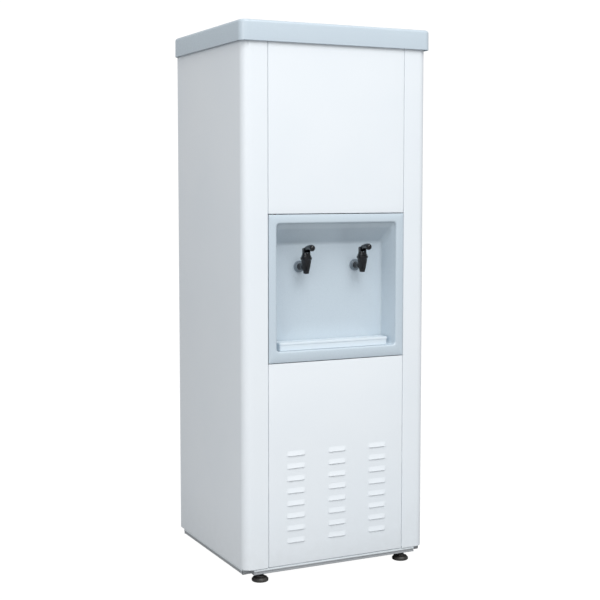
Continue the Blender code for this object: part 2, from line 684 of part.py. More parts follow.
def tank_jacket():
    """The foam jacket, the cooling coil inside it and the tank's lid."""
    floor = TANK_BOTTOM - GAP
    jacket = [(0.0, SHELF_TOP + GAP), (FOAM_RADIUS, SHELF_TOP + GAP), (FOAM_RADIUS, TANK_TOP),
              (FOAM_INNER, TANK_TOP), (FOAM_INNER, floor), (0.0, floor)]
    foam = turned("tank_insulation", jacket, "Z", (0.0, TANK_Y), "foam", 40)
    cut(foam, make("foam_holes", pipe_holes(SHELF_TOP - 0.01, TANK_BOTTOM + 0.01)))
    count = COIL_TURNS * 24
    coil = [(0.0, TANK_Y + COIL_RADIUS, OUTLET_END)]
    for i in range(count + 1):
        angle = math.tau * COIL_TURNS * i / count + math.pi / 2
        height = COIL_BOTTOM + (COIL_TOP - COIL_BOTTOM) * i / count
        coil.append((COIL_RADIUS * math.cos(angle), TANK_Y + COIL_RADIUS * math.sin(angle), height))
    tube("evaporator_coil", coil, COIL_TUBE, "copper")
    lid_low = TANK_TOP + GAP
    lid = [(0.0, lid_low), (FOAM_RADIUS, lid_low), (FOAM_RADIUS, lid_low + 0.006), (0.0, lid_low + 0.008)]
    cover = turned("tank_lid", lid, "Z", (0.0, TANK_Y), "tray_white", 40)
    cut(cover, rod("valve_hole", 0.0105, "Z", (VALVE_X, VALVE_Y), TANK_TOP - 0.01, TANK_TOP + 0.03))


def float_valve():
    """The inlet valve that hangs from the tank's lid, and the arm and ball that work it."""
    top = TANK_TOP + GAP + 0.008 + GAP
    body = [(0.0, FLOAT_PIVOT_Z - 0.012), (0.009, FLOAT_PIVOT_Z - 0.012), (0.010, TANK_TOP), (0.010, top),
            (0.016, top), (0.016, top + 0.0035), (0.0065, top + 0.0035), (0.0065, top + 0.016),
            (0.0, top + 0.016)]
    valve = turned("float_valve", body, "Z", (VALVE_X, VALVE_Y), "tray_white")
    pivot = (VALVE_X, FLOAT_PIVOT_Z)
    join(valve, rod("valve_pivot", 0.002, "Y", pivot, VALVE_Y, FLOAT_HUB_Y + 0.006, segments=16))
    hub = [(0.0023, FLOAT_HUB_Y - 0.003), (0.006, FLOAT_HUB_Y - 0.003), (0.006, FLOAT_HUB_Y + 0.003),
           (0.0023, FLOAT_HUB_Y + 0.003)]
    arm = turned("float_arm", hub, "Y", pivot, "brass", 20, ring=True)
    bar = rod("arm_bar", 0.0018, "X", (0.0, 0.0), 0.004, FLOAT_ARM, segments=12)
    bar.data.transform(Matrix.Rotation(FLOAT_DROOP, 4, "Y"))
    bar.data.transform(Matrix.Translation((VALVE_X, FLOAT_HUB_Y, FLOAT_PIVOT_Z)))
    join(arm, bar)
    reach = FLOAT_ARM + GAP + FLOAT_RADIUS
    x = VALVE_X + reach * math.cos(FLOAT_DROOP)
    z = FLOAT_PIVOT_Z - reach * math.sin(FLOAT_DROOP)
    profile = [(r, z + h) for r, h in arc((0.0, 0.0), FLOAT_RADIUS, -90, 90, 8)]
    turned("float_ball", profile, "Z", (x, FLOAT_HUB_Y), "tap_black", 16)


def wall_fittings():
    """The water inlet, the drain stub and the cable gland, each through the back panel, open along its axis."""
    outer = HALF_DEPTH + GAP
    for name, z in (("inlet_fitting", INLET_Z), ("drain_fitting", DRAIN_Z)):
        profile = [(0.004, 0.185), (0.0075, 0.185), (0.0075, outer), (0.014, outer), (0.014, outer + 0.003),
                   (0.0085, outer + 0.003), (0.0085, REACH), (0.004, REACH)]
        turned(name, profile, "Y", (INLET_X, z), "brass", ring=True)
    gland = [(0.004, 0.200), (0.0078, 0.200), (0.0078, outer), (0.013, outer), (0.011, outer + 0.004),
             (0.0065, outer + 0.012), (0.004, outer + 0.012)]
    turned("cord_gland", gland, "Y", (GLAND_X, GLAND_Z), "tap_black", ring=True)


def hoses():
    """The feed hose, the two outlet hoses and the suction line, each a solid tube on its own route."""
    feed = [(INLET_X, 0.1838, INLET_Z), (INLET_X, 0.174, INLET_Z), (-0.172, 0.152, 1.132), (-0.196, 0.120, 1.175),
            (-0.190, 0.085, 1.225), (-0.150, 0.060, 1.255), (-0.090, 0.040, 1.262), (-0.052, 0.031, 1.262),
            (VALVE_X, VALVE_Y, 1.253), (VALVE_X, VALVE_Y, TANK_TOP + 0.0254)]
    tube("feed_hose", smooth_route(feed, 5), 0.0045, "silicone")
    for side, suffix in ((-1, "left"), (1, "right")):
        route = [(side * OUTLET_X, OUTLET_Y, OUTLET_END - 3 * GAP), (side * OUTLET_X, OUTLET_Y, 0.840),
                 (side * 0.055, -0.040, 0.785), (side * 0.066, -0.042, 0.745),
                 (side * TAP_X, -0.068, STEM_Z), (side * TAP_X, STEM_END + 3 * GAP, STEM_Z)]
        tube("outlet_hose_" + suffix, smooth_route(route, 5), HOSE_RADIUS, "silicone")
    suction = [(0.0, TANK_Y + COIL_RADIUS, OUTLET_END - 3 * GAP), (0.0, TANK_Y + COIL_RADIUS, 0.80),
               (0.03, 0.155, 0.70), (0.04, 0.160, 0.50), (0.03, 0.135, 0.33), (0.0, COMPRESSOR_Y, 0.262),
               (0.0, COMPRESSOR_Y, 0.2362)]
    tube("suction_line", smooth_route(suction, 5), 0.004, "copper")


def compressor():
    """The sealed compressor, a squat welded pot that stands on the base tray."""
    low = TRAY_TOP + GAP
    pot = [(0.0, low), (COMPRESSOR_RADIUS * 0.9, low), (COMPRESSOR_RADIUS * 0.9, low + 0.003),
           (0.062, low + 0.003), (0.070, low + 0.020), (0.074, low + 0.060), (0.0755, 0.130),
           (0.0785, 0.131), (0.0785, 0.136), (0.0755, 0.137), (0.072, 0.180), (0.055, 0.208), (0.028, 0.220),
           (0.006, 0.222), (0.006, 0.235), (0.0, 0.235)]
    turned("compressor", pot, "Z", (0.0, COMPRESSOR_Y), "motor_black")


def condenser():
    """The finned heat exchanger behind the louvres, its fins standing forward from a back plate."""
    half, fins = 0.125, 24
    rear, root, tip = SHROUD_FRONT - GAP, SHROUD_FRONT - 0.006, -0.186
    pitch = 2 * half / (fins - 0.5)
    outline = [(half, rear), (-half, rear)]
    for i in range(fins):
        x = -half + i * pitch
        outline += [(x, tip), (x + pitch / 2, tip)]
        if i < fins - 1:
            outline += [(x + pitch / 2, root), (x + pitch, root)]
    prism("condenser", outline, "Z", 0.110, 0.310, "aluminium_fin")


def fan():
    """The shroud plate with its ring, the fan and its motor on four arms."""
    centre = (0.0, FAN_Z)
    shroud = box("fan_shroud", (-0.130, SHROUD_FRONT, TRAY_TOP + GAP), (0.130, SHROUD_FRONT + 0.002, 0.315),
                 "zinc_steel")
    ring = [(SHROUD_HOLE, SHROUD_FRONT + 0.001), (SHROUD_HOLE + 0.002, SHROUD_FRONT + 0.001),
            (SHROUD_HOLE + 0.002, SHROUD_REAR), (SHROUD_HOLE, SHROUD_REAR)]
    join(shroud, turned("shroud_ring", ring, "Y", centre, segments=40, ring=True))
    cut(shroud, rod("shroud_hole", SHROUD_HOLE, "Y", centre, SHROUD_FRONT - 0.01, SHROUD_REAR + 0.01,
                    segments=40))
    front, rear = -0.1340, -0.1100
    bm = bmesh.new()
    add_turned(bm, [(0.0033, front), (0.022, front), (0.022, rear), (0.0033, rear)], "Y", centre, ring=True)
    rotor = make("fan_rotor", bm, "fan_grey")
    for i in range(5):
        blade = box(f"blade_{i}", (-0.018, -0.0010, 0.019), (0.018, 0.0010, FAN_RADIUS))
        blade.data.transform(Matrix.Rotation(math.radians(30), 4, "Z"))
        blade.data.transform(Matrix.Rotation(math.tau * i / 5, 4, "Y"))
        blade.data.transform(Matrix.Translation((0.0, (front + rear) / 2, FAN_Z)))
        join(rotor, blade)
    set_origin(rotor, (0.0, front, FAN_Z))
    case = [(0.0, front + 0.002), (0.003, front + 0.002), (0.003, SHROUD_REAR), (0.033, SHROUD_REAR + GAP),
            (0.033, -0.058), (0.026, -0.050), (0.0, -0.050)]
    motor = turned("fan_motor", case, "Y", centre, "motor_black")
    for i in range(2):
        arm = box(f"motor_arm_{i}", (-SHROUD_HOLE - 0.002, SHROUD_REAR + GAP, -0.006),
                  (SHROUD_HOLE + 0.002, SHROUD_REAR + GAP + 0.002, 0.006))
        arm.data.transform(Matrix.Rotation(math.radians(45 + 90 * i), 4, "Y"))
        arm.data.transform(Matrix.Translation((0.0, 0.0, FAN_Z)))
        join(motor, arm)


def controls():
    """The thermostat on the inside of the back panel, its knob outside and the filter drier beside it."""
    shell = box("thermostat", (KNOB_X - 0.025, 0.180, KNOB_Z - 0.025), (KNOB_X + 0.025, BACK_INNER - GAP,
                KNOB_Z + 0.025), "tray_white")
    join(shell, rod("thermostat_shaft", 0.003, "Y", (KNOB_X, KNOB_Z), 0.200, 0.2220, segments=16))
    low = BACK_OUTER + 0.0018
    dial = [(0.0, low), (0.016, low), (0.0155, low + 0.004), (0.013, low + 0.005), (0.012, 0.2250), (0.0, 0.2250)]
    knob = turned("thermostat_knob", dial, "Y", (KNOB_X, KNOB_Z), "tap_black")
    cut(knob, rod("knob_bore", 0.0033, "Y", (KNOB_X, KNOB_Z), 0.200, 0.2224, segments=16))
    set_origin(knob, (KNOB_X, low, KNOB_Z))
    drier = [(0.0, 0.330), (0.003, 0.330), (0.003, 0.345), (0.011, 0.355), (0.011, 0.435), (0.003, 0.445),
             (0.003, 0.460), (0.0, 0.460)]
    turned("filter_drier", drier, "Z", (-0.120, 0.190), "copper")


def build():
    clear_scene()
    base_tray()
    side_panel(-1, "side_panel_left")
    side_panel(1, "side_panel_right")
    back_panel()
    front_pan("upper_front_panel", BEZEL_TOP + SEAM_GAP, FRONT_TOP)
    lower_front_panel()
    top_frame()
    top_cover()
    alcove_liner()
    drip_tray()
    drip_grille()
    for end, sy in (("front", -1), ("rear", 1)):
        for hand, sx in (("left", -1), ("right", 1)):
            foot(f"{end}_{hand}", sx * FOOT_X, sy * FOOT_Y)
    for suffix, side in (("left", -1), ("right", 1)):
        tap_body(side * TAP_X, suffix)
        tap_bonnet(side * TAP_X, suffix)
        tap_lever(side * TAP_X, suffix)
        tap_inner_parts(side * TAP_X, suffix)
    tank_shelf()
    cold_tank()
    tank_jacket()
    float_valve()
    wall_fittings()
    hoses()
    compressor()
    condenser()
    fan()
    controls()


build()
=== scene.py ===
"""A floor-standing water cooler with two taps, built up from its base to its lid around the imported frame."""

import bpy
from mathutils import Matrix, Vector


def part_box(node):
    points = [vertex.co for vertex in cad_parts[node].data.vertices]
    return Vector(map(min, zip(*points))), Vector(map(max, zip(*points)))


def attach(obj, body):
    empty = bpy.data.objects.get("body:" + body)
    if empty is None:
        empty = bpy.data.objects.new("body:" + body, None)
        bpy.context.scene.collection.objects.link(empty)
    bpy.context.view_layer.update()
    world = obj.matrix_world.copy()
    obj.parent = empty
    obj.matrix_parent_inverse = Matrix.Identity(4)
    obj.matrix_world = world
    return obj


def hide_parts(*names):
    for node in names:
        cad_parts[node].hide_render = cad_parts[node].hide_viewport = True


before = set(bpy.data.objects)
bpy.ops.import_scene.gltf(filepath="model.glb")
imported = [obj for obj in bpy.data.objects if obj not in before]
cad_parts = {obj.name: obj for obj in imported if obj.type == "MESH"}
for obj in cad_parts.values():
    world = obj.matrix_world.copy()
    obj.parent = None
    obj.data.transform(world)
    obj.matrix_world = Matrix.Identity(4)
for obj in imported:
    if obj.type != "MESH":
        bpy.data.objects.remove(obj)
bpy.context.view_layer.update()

import math

import bmesh
import bpy
import numpy as np

# ---- Base tray ----------------------------------------------------------------------------------
# One folded sheet of steel, painted grey: a floor plate with a rail hanging down on each side.
# The rails stop short of the corners, so that a spanner reaches the levelling feet.


def quads(rows, columns, wrap=False):
    """Quads between neighbouring lines of a grid of points; wrap joins each row's last point to its first."""
    row, column = np.meshgrid(np.arange(rows - 1), np.arange(columns - (not wrap)), indexing="ij")
    beside = (column + 1) % columns
    corners = (row * columns + column, row * columns + beside,
               (row + 1) * columns + beside, (row + 1) * columns + column)
    return np.stack(corners, -1).reshape(-1, 4)


def make_piece(name, shells, material, body, nodes=(), wall=0.0, facing=None, sharp=38):
    """Joins grids of points and their quads into one closed mesh with its faces outwards.

    Each shell is (points, quads). An open sheet has a wall: its faces are turned to `facing`, and the
    wall grows behind them."""
    points = np.concatenate([p.reshape(-1, 3) for p, _ in shells])
    starts = np.cumsum([0] + [p.size // 3 for p, _ in shells[:-1]])
    faces = np.concatenate([q + start for (_, q), start in zip(shells, starts)])
    mesh = bpy.data.meshes.new(name)
    mesh.from_pydata(points.tolist(), [], faces.tolist())
    bm = bmesh.new()
    bm.from_mesh(mesh)
    bmesh.ops.remove_doubles(bm, verts=bm.verts, dist=2e-6)
    bmesh.ops.recalc_face_normals(bm, faces=bm.faces)
    bm.to_mesh(mesh)
    bm.free()
    piece = bpy.data.objects.new(name, mesh)
    bpy.context.scene.collection.objects.link(piece)
    if wall:
        normals = np.zeros(len(mesh.polygons) * 3)
        areas = np.zeros(len(mesh.polygons))
        mesh.polygons.foreach_get("normal", normals)
        mesh.polygons.foreach_get("area", areas)
        if areas @ (normals.reshape(-1, 3) @ np.array(facing)) < 0:
            mesh.flip_normals()
        solid = piece.modifiers.new("wall", "SOLIDIFY")
        solid.thickness = wall
        solid.offset = -1
        solid.use_even_offset = True
        bpy.context.view_layer.update()
        mesh = bpy.data.meshes.new_from_object(piece.evaluated_get(bpy.context.evaluated_depsgraph_get()))
        piece.modifiers.clear()
        piece.data = mesh
    mesh.shade_smooth()
    mesh.set_sharp_from_angle(angle=math.radians(sharp))
    mesh.materials.clear()
    mesh.materials.append(material)
    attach(piece, body)
    if nodes:
        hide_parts(*nodes)
    return piece


def unit(vector):
    """The vector at a length of one."""
    return vector / np.linalg.norm(vector)


def bent_path(corners, radii, steps=8):
    """A line through the corners, each inner one rounded: an arc of that radius about the point that lies
    on the corner's bisector, its points turned evenly from one side's tangent point to the other's."""
    corners = np.asarray(corners, float)
    line = [corners[:1]]
    for before, here, after, radius in zip(corners, corners[1:], corners[2:], radii):
        u, v = unit(before - here), unit(after - here)
        half = math.acos(float(np.clip(u @ v, -1, 1))) / 2
        centre = here + unit(u + v) * radius / math.sin(half)
        start = here + u * radius / math.tan(half) - centre
        end = here + v * radius / math.tan(half) - centre
        turn = math.pi - 2 * half
        share = np.linspace(0, 1, steps + 1)[:, None]
        arc = (np.sin((1 - share) * turn) * start + np.sin(share * turn) * end) / math.sin(turn)
        line.append(centre + arc)
    line.append(corners[-1:])
    return np.concatenate(line)


# The order that takes (first, second, level) to x, y and z when the level runs along the named axis.
TURNS = {"X": [2, 0, 1], "Y": [0, 2, 1], "Z": [0, 1, 2]}


def bent_sheet(line, wall, low, high, axis):
    """A folded sheet: a line in the plane across the axis and its copy moved sideways by the wall, along the
    line's normals, both drawn from low to high and closed at every edge."""
    along = np.gradient(line, axis=0)
    along /= np.linalg.norm(along, axis=1)[:, None]
    inner = line + wall * np.stack([-along[:, 1], along[:, 0]], -1)
    section = np.stack([line, line, inner, inner], 1)
    height = np.broadcast_to(np.array([low, high, high, low])[None, :, None], (len(line), 4, 1))
    points = np.concatenate([section, height], -1)[..., TURNS[axis]]
    last = 4 * (len(line) - 1)
    ends = np.array([[0, 1, 2, 3], [last, last + 1, last + 2, last + 3]])
    return points, np.concatenate([quads(len(line), 4, wrap=True), ends])


def tone(red, green, blue):
    """A colour given as it looks on a screen, 0 to 255, turned into the linear values that shaders take."""
    value = np.array([red, green, blue]) / 255
    linear = np.where(value <= 0.04045, value / 12.92, ((value + 0.055) / 1.055) ** 2.4)
    return (*linear.tolist(), 1.0)


def add(tree, kind, inputs=None, **settings):
    """Adds a node; each input is a value, or another node's socket to link from."""
    node = tree.nodes.new(kind)
    for key, value in settings.items():
        setattr(node, key, value)
    for key, value in (inputs or {}).items():
        if isinstance(value, bpy.types.NodeSocket):
            tree.links.new(value, node.inputs[key])
        else:
            node.inputs[key].default_value = value
    return node


def new_group(name, inputs, outputs):
    """A shader node group with named inputs and outputs, and its two end nodes."""
    tree = bpy.data.node_groups.new(name, "ShaderNodeTree")
    for label, kind in inputs:
        tree.interface.new_socket(label, in_out="INPUT", socket_type="NodeSocket" + kind)
    for label, kind in outputs:
        tree.interface.new_socket(label, in_out="OUTPUT", socket_type="NodeSocket" + kind)
    return tree, tree.nodes.new("NodeGroupInput").outputs, tree.nodes.new("NodeGroupOutput")


# Surface variation, used by every finish: broad soft patches between two colours, and a fine grain that
# moves the roughness and gives the height of the texture.
variation, given, result = new_group(
    "surface variation",
    [("Colour", "Color"), ("Patch Colour", "Color"), ("Patch Scale", "Float"), ("Grain Scale", "Float"),
     ("Stretch", "Vector"), ("Smooth", "Float"), ("Rough", "Float")],
    [("Colour", "Color"), ("Roughness", "Float"), ("Height", "Float")])
place = add(variation, "ShaderNodeTexCoord").outputs["Object"]
stretched = add(variation, "ShaderNodeVectorMath", {0: place, 1: given["Stretch"]}, operation="MULTIPLY")
patches = add(variation, "ShaderNodeTexNoise",
              {"Vector": stretched.outputs[0], "Scale": given["Patch Scale"], "Detail": 3.0})
grain = add(variation, "ShaderNodeTexNoise",
            {"Vector": stretched.outputs[0], "Scale": given["Grain Scale"], "Detail": 4.0})
patch_mask = add(variation, "ShaderNodeMapRange", {0: patches.outputs[0], 1: 0.35, 2: 0.65})
mixed = add(variation, "ShaderNodeMix",
            {"Factor": patch_mask.outputs[0], 6: given["Colour"], 7: given["Patch Colour"]}, data_type="RGBA")
grain_mask = add(variation, "ShaderNodeMapRange", {0: grain.outputs[0], 1: 0.3, 2: 0.7})
roughness = add(variation, "ShaderNodeMapRange",
                {0: grain_mask.outputs[0], 3: given["Smooth"], 4: given["Rough"]})
variation.links.new(mixed.outputs[2], result.inputs["Colour"])
variation.links.new(roughness.outputs[0], result.inputs["Roughness"])
variation.links.new(grain_mask.outputs[0], result.inputs["Height"])

# Floor dust: a broken film that is thickest at the foot of the cooler and gone a hand's width above it.
dust, given, result = new_group(
    "floor dust", [("Colour", "Color"), ("Dust Colour", "Color"), ("Top", "Float"), ("Amount", "Float")],
    [("Colour", "Color")])
place = add(dust, "ShaderNodeTexCoord").outputs["Object"]
height = add(dust, "ShaderNodeSeparateXYZ", {0: place}).outputs["Z"]
fade = add(dust, "ShaderNodeMapRange", {0: height, 1: 0.0, 2: given["Top"], 3: given["Amount"], 4: 0.0})
broken = add(dust, "ShaderNodeTexNoise", {"Vector": place, "Scale": 60.0, "Detail": 5.0})
film = add(dust, "ShaderNodeMath", {0: fade.outputs[0], 1: broken.outputs[0]}, operation="MULTIPLY")
dusted = add(dust, "ShaderNodeMix",
             {"Factor": film.outputs[0], 6: given["Colour"], 7: given["Dust Colour"]}, data_type="RGBA")
dust.links.new(dusted.outputs[2], result.inputs["Colour"])


DUST_TOP = 0.16


def finish(name, colour, patch, smooth, rough, patch_scale=5.0, grain_scale=600.0, bump=0.00002,
           stretch=(1.0, 1.0, 1.0), dusty=0.0, **shader):
    """A finish of two close colours with a grain. bump is the grain's height in metres, dusty is how much
    dust lies at the floor, and any other value goes to the shader's socket of that name."""
    material = bpy.data.materials.new(name)
    material.use_nodes = True
    tree = material.node_tree
    principled = tree.nodes["Principled BSDF"]
    look = add(tree, "ShaderNodeGroup", node_tree=variation)
    for label, value in (("Colour", colour), ("Patch Colour", patch), ("Patch Scale", patch_scale),
                         ("Grain Scale", grain_scale), ("Stretch", stretch), ("Smooth", smooth),
                         ("Rough", rough)):
        look.inputs[label].default_value = value
    shown = look.outputs["Colour"]
    if dusty:
        film = add(tree, "ShaderNodeGroup", node_tree=dust)
        tree.links.new(shown, film.inputs["Colour"])
        film.inputs["Dust Colour"].default_value = tone(148, 142, 132)
        film.inputs["Top"].default_value = DUST_TOP
        film.inputs["Amount"].default_value = dusty
        shown = film.outputs["Colour"]
    raised = add(tree, "ShaderNodeBump", {"Height": look.outputs["Height"]})
    raised.inputs["Strength"].default_value = 1.0
    raised.inputs["Distance"].default_value = bump
    tree.links.new(shown, principled.inputs["Base Color"])
    tree.links.new(look.outputs["Roughness"], principled.inputs["Roughness"])
    tree.links.new(raised.outputs["Normal"], principled.inputs["Normal"])
    for label, value in shader.items():
        principled.inputs[label.replace("_", " ").title().replace("Ior", "IOR")].default_value = value
    return material


base_paint = finish("base grey paint", tone(176, 180, 184), tone(170, 175, 180), 0.38, 0.52,
                    grain_scale=500.0, bump=0.00003, dusty=0.25)
# The top roll gets a painted highlight, a pale tone for the light its bend catches from above: a mask by
# height lays it over the grey.
ROLL_FOOT = 0.0304
tree = base_paint.node_tree
place = add(tree, "ShaderNodeTexCoord").outputs["Object"]
level = add(tree, "ShaderNodeSeparateXYZ", {0: place}).outputs["Z"]
roll_highlight_mask = add(tree, "ShaderNodeMapRange", {0: level, 1: ROLL_FOOT, 2: ROLL_FOOT + 0.0004})
roll_highlight_mix = add(tree, "ShaderNodeMix", {"Factor": roll_highlight_mask.outputs[0], 7: tone(226, 233, 237)},
               data_type="RGBA")
base_colour = tree.nodes["Principled BSDF"].inputs["Base Color"]
tree.links.new(base_colour.links[0].from_socket, roll_highlight_mix.inputs[6])
tree.links.new(roll_highlight_mix.outputs[2], base_colour)
BASE_HALF_X, BASE_HALF_Y = 0.240, 0.208
OPEN_CORNER_X, OPEN_CORNER_Y = 0.024, 0.018
RAIL_WALL, RAIL_TOP, RAIL_FOOT = 0.0015, 0.0350, 0.0215
STEP_IN, FOOT_RETURN, TOP_RETURN = 0.0016, 0.012, 0.050
CAP_DEPTH, CAP_SHORT, CAP_FOOT, CAP_TOP = 0.030, 0.0008, 0.0217, 0.0342
PLATE_TOP, PLATE_WALL, PLATE_HALF_X, PLATE_HALF_Y = 0.0348, 0.0013, 0.216, 0.189
rails = []
for side in (-1, 1):
    for axis, half, run in (("X", BASE_HALF_Y, BASE_HALF_X - OPEN_CORNER_X),
                            ("Y", BASE_HALF_X, BASE_HALF_Y - OPEN_CORNER_Y)):
        rail = bent_path([(side * (half - TOP_RETURN), RAIL_TOP), (side * half, RAIL_TOP),
                          (side * half, 0.0285), (side * (half - STEP_IN), 0.0272),
                          (side * (half - STEP_IN), RAIL_FOOT), (side * (half - FOOT_RETURN), RAIL_FOOT)],
                         [0.0030, 0.0012, 0.0012, 0.0016])
        rails.append(bent_sheet(rail, -side * RAIL_WALL, -run, run, axis))
        for end in (-run, run):
            inward = math.copysign(RAIL_WALL, -end)
            cap = np.array([(end, CAP_FOOT), (end, CAP_TOP)])
            near, far = sorted((side * (half - CAP_DEPTH), side * (half - CAP_SHORT)))
            rails.append(bent_sheet(cap, -inward, near, far, "Y" if axis == "X" else "X"))
floor_plate = bent_sheet(np.array([(-PLATE_HALF_X, PLATE_TOP), (PLATE_HALF_X, PLATE_TOP)]),
                         -PLATE_WALL, -PLATE_HALF_Y, PLATE_HALF_Y, "Y")
make_piece("base_tray_folded", rails + [floor_plate], base_paint, "cabinet", ["base_tray"])

# ---- Levelling feet -----------------------------------------------------------------------------
# Four moulded rubber pads on steel studs. Each stud's rolled thread screws up into the base tray, so
# every foot is turned by hand until the cooler stands level.


def turned(profile, centre, axis, shape=None, segments=64):
    """A profile of (radius, level) turned about an axis: (r cos a, r sin a, level), closed where r is zero.

    shape(angle, level, radius) may give another radius and level at each point, for flutes or a thread."""
    profile = np.asarray(profile, float)
    angle = np.linspace(0, 2 * math.pi, segments, endpoint=False)[None, :]
    radius = np.broadcast_to(profile[:, :1], (len(profile), segments))
    level = np.broadcast_to(profile[:, 1:], (len(profile), segments))
    if shape:
        radius, level = shape(np.broadcast_to(angle, radius.shape), level, radius)
    first, second = centre[0] + radius * np.cos(angle), centre[1] + radius * np.sin(angle)
    points = np.stack([first, second, level], -1)[..., TURNS[axis]]
    return points, quads(len(profile), segments, wrap=True)


def dense(line, step):
    """The same line with points added at even steps along it."""
    line = np.asarray(line, float)
    run = np.concatenate([[0], np.cumsum(np.linalg.norm(np.diff(line, axis=0), axis=1))])
    places = np.unique(np.concatenate([run, np.arange(0, run[-1], step)]))
    return np.stack([np.interp(places, run, line[:, k]) for k in (0, 1)], -1)


def thread(low, high, pitch, depth):
    """A rolled thread between two levels: the radius falls and rises by a cosine as level / pitch minus the
    turned angle goes round, and the cut fades in and out over one pitch."""
    def shape(angle, level, radius):
        fade = np.clip((level - low) / pitch, 0, 1) * np.clip((high - level) / pitch, 0, 1)
        wave = 0.5 - 0.5 * np.cos(2 * math.pi * level / pitch - angle)
        return radius - depth * fade * wave * (radius > depth * 2), level
    return shape


def flutes(count, depth, low, high, ease=0.001):
    """Upright grooves between two levels: the radius falls by depth times the square of a cosine wave of
    that count round the axis, and the grooves run out over the ease at each end."""
    def shape(angle, level, radius):
        fade = np.clip((level - low) / ease, 0, 1) * np.clip((high - level) / ease, 0, 1)
        groove = (0.5 + 0.5 * np.cos(count * angle)) ** 2
        return radius - depth * fade * groove, level
    return shape


foot_rubber = finish("foot rubber", tone(24, 25, 28), tone(32, 33, 36), 0.36, 0.55, patch_scale=60.0,
                     grain_scale=1500.0, bump=0.00005, dusty=0.25)
zinc = finish("zinc plated steel", tone(190, 193, 196), tone(168, 170, 166), 0.24, 0.42, patch_scale=45.0,
              grain_scale=900.0, bump=0.00001, metallic=1.0)
PAD_PROFILE = bent_path([(0, 0), (0.0185, 0), (0.0200, 0.0015), (0.0200, 0.0052), (0.0188, 0.0062),
                         (0.0165, 0.0092), (0.0105, 0.0106), (0.0092, 0.0143), (0, 0.0143)],
                        [0.0008, 0.0008, 0.0008, 0.0008, 0.0012, 0.0016, 0.0006], 4)
STUD_FOOT, STUD_TOP, STUD_RADIUS = 0.0148, 0.0750, 0.0040
for corner in ("front_left", "front_right", "rear_left", "rear_right"):
    low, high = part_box("foot_pad_" + corner)
    centre = ((low.x + high.x) / 2, (low.y + high.y) / 2)
    make_piece("foot_pad_ribbed_" + corner,
               [turned(PAD_PROFILE, centre, "Z", flutes(28, 0.0006, 0.0009, 0.0056))],
               foot_rubber, "foot_" + corner, ["foot_pad_" + corner], sharp=50)
    stud = dense([(0, STUD_FOOT), (0.0037, STUD_FOOT), (STUD_RADIUS, 0.0154), (STUD_RADIUS, 0.0744),
                  (0.0034, STUD_TOP), (0, STUD_TOP)], 0.00032)
    make_piece("foot_stud_threaded_" + corner,
               [turned(stud, centre, "Z", thread(0.0170, 0.0745, 0.00125, 0.00055), 32)],
               zinc, "foot_" + corner, ["foot_stud_" + corner], sharp=70)

# ---- Side panels --------------------------------------------------------------------------------
# Each side is one sheet of steel, powder coated white. It wraps round the front corner in a wide bend
# and folds in at the seam beside the front panels and at the rear, where the back is screwed on.

cabinet_white = finish("white powder coat", tone(236, 241, 245), tone(232, 238, 243), 0.30, 0.42,
                       patch_scale=2.5, grain_scale=520.0, bump=0.000012, dusty=0.16, coat_weight=0.12,
                       coat_roughness=0.16)
SHEET = 0.0012
HALF_WIDTH, HALF_DEPTH, SEAM = 0.242, 0.210, 0.180
SIDE_FOOT, SIDE_TOP = 0.0355, 1.290
REAR_FOLD, SEAM_FOLD = 0.020, 0.012
for name in ("side_panel_left", "side_panel_right"):
    side = math.copysign(1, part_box(name)[0].x)
    outline = bent_path([(side * (HALF_WIDTH - REAR_FOLD), HALF_DEPTH), (side * HALF_WIDTH, HALF_DEPTH),
                         (side * HALF_WIDTH, -HALF_DEPTH), (side * SEAM, -HALF_DEPTH),
                         (side * SEAM, -HALF_DEPTH + SEAM_FOLD)], [0.0020, 0.022, 0.0018], 14)
    make_piece(name + "_wrapped", [bent_sheet(outline, -side * SHEET, SIDE_FOOT, SIDE_TOP, "Z")],
               cabinet_white, "cabinet", [name], sharp=30)

# ---- Back panel ---------------------------------------------------------------------------------
# A flat coated sheet between the sides' rear folds, with three columns of round-ended vent slots
# punched behind the compressor.


def slotted_sheet(low, high, centres, rows, half_length, half_width):
    """A flat sheet with round-ended slots, as points (across, up) and quads.

    Every slot is an eye between two lines of the grid. The lines stand half a width apart along the
    slot, w cos f, close in a half circle at its ends, w sin f beyond the straight part, and run as one
    line elsewhere. The quads between a pair of lines are left out."""
    bend = half_width * np.sin(np.linspace(0, math.pi / 2, 7))
    straight = half_length - half_width
    ends = np.concatenate([-(straight + bend[::-1]), [0.0], straight + bend])
    across = np.concatenate([[low[0]], *[centre + ends for centre in centres], [high[0]]])
    beside = np.min([abs(across - centre) for centre in centres], axis=0)
    beyond = np.clip(beside - straight, 0, half_width)
    opening = np.where(beside < half_length - 1e-9, np.sqrt(np.maximum(half_width**2 - beyond**2, 0)), 0)
    up = np.concatenate([[low[1]], np.repeat(rows, 2), [high[1]]])
    step = np.concatenate([[0], np.tile([-1, 1], len(rows)), [0]])
    points = np.stack([np.broadcast_to(across, (len(up), len(across))),
                       up[:, None] + step[:, None] * opening], -1)
    faces = quads(*points.shape[:2])
    line = faces[:, 0] // len(across)
    return points, faces[step[line] >= 0]


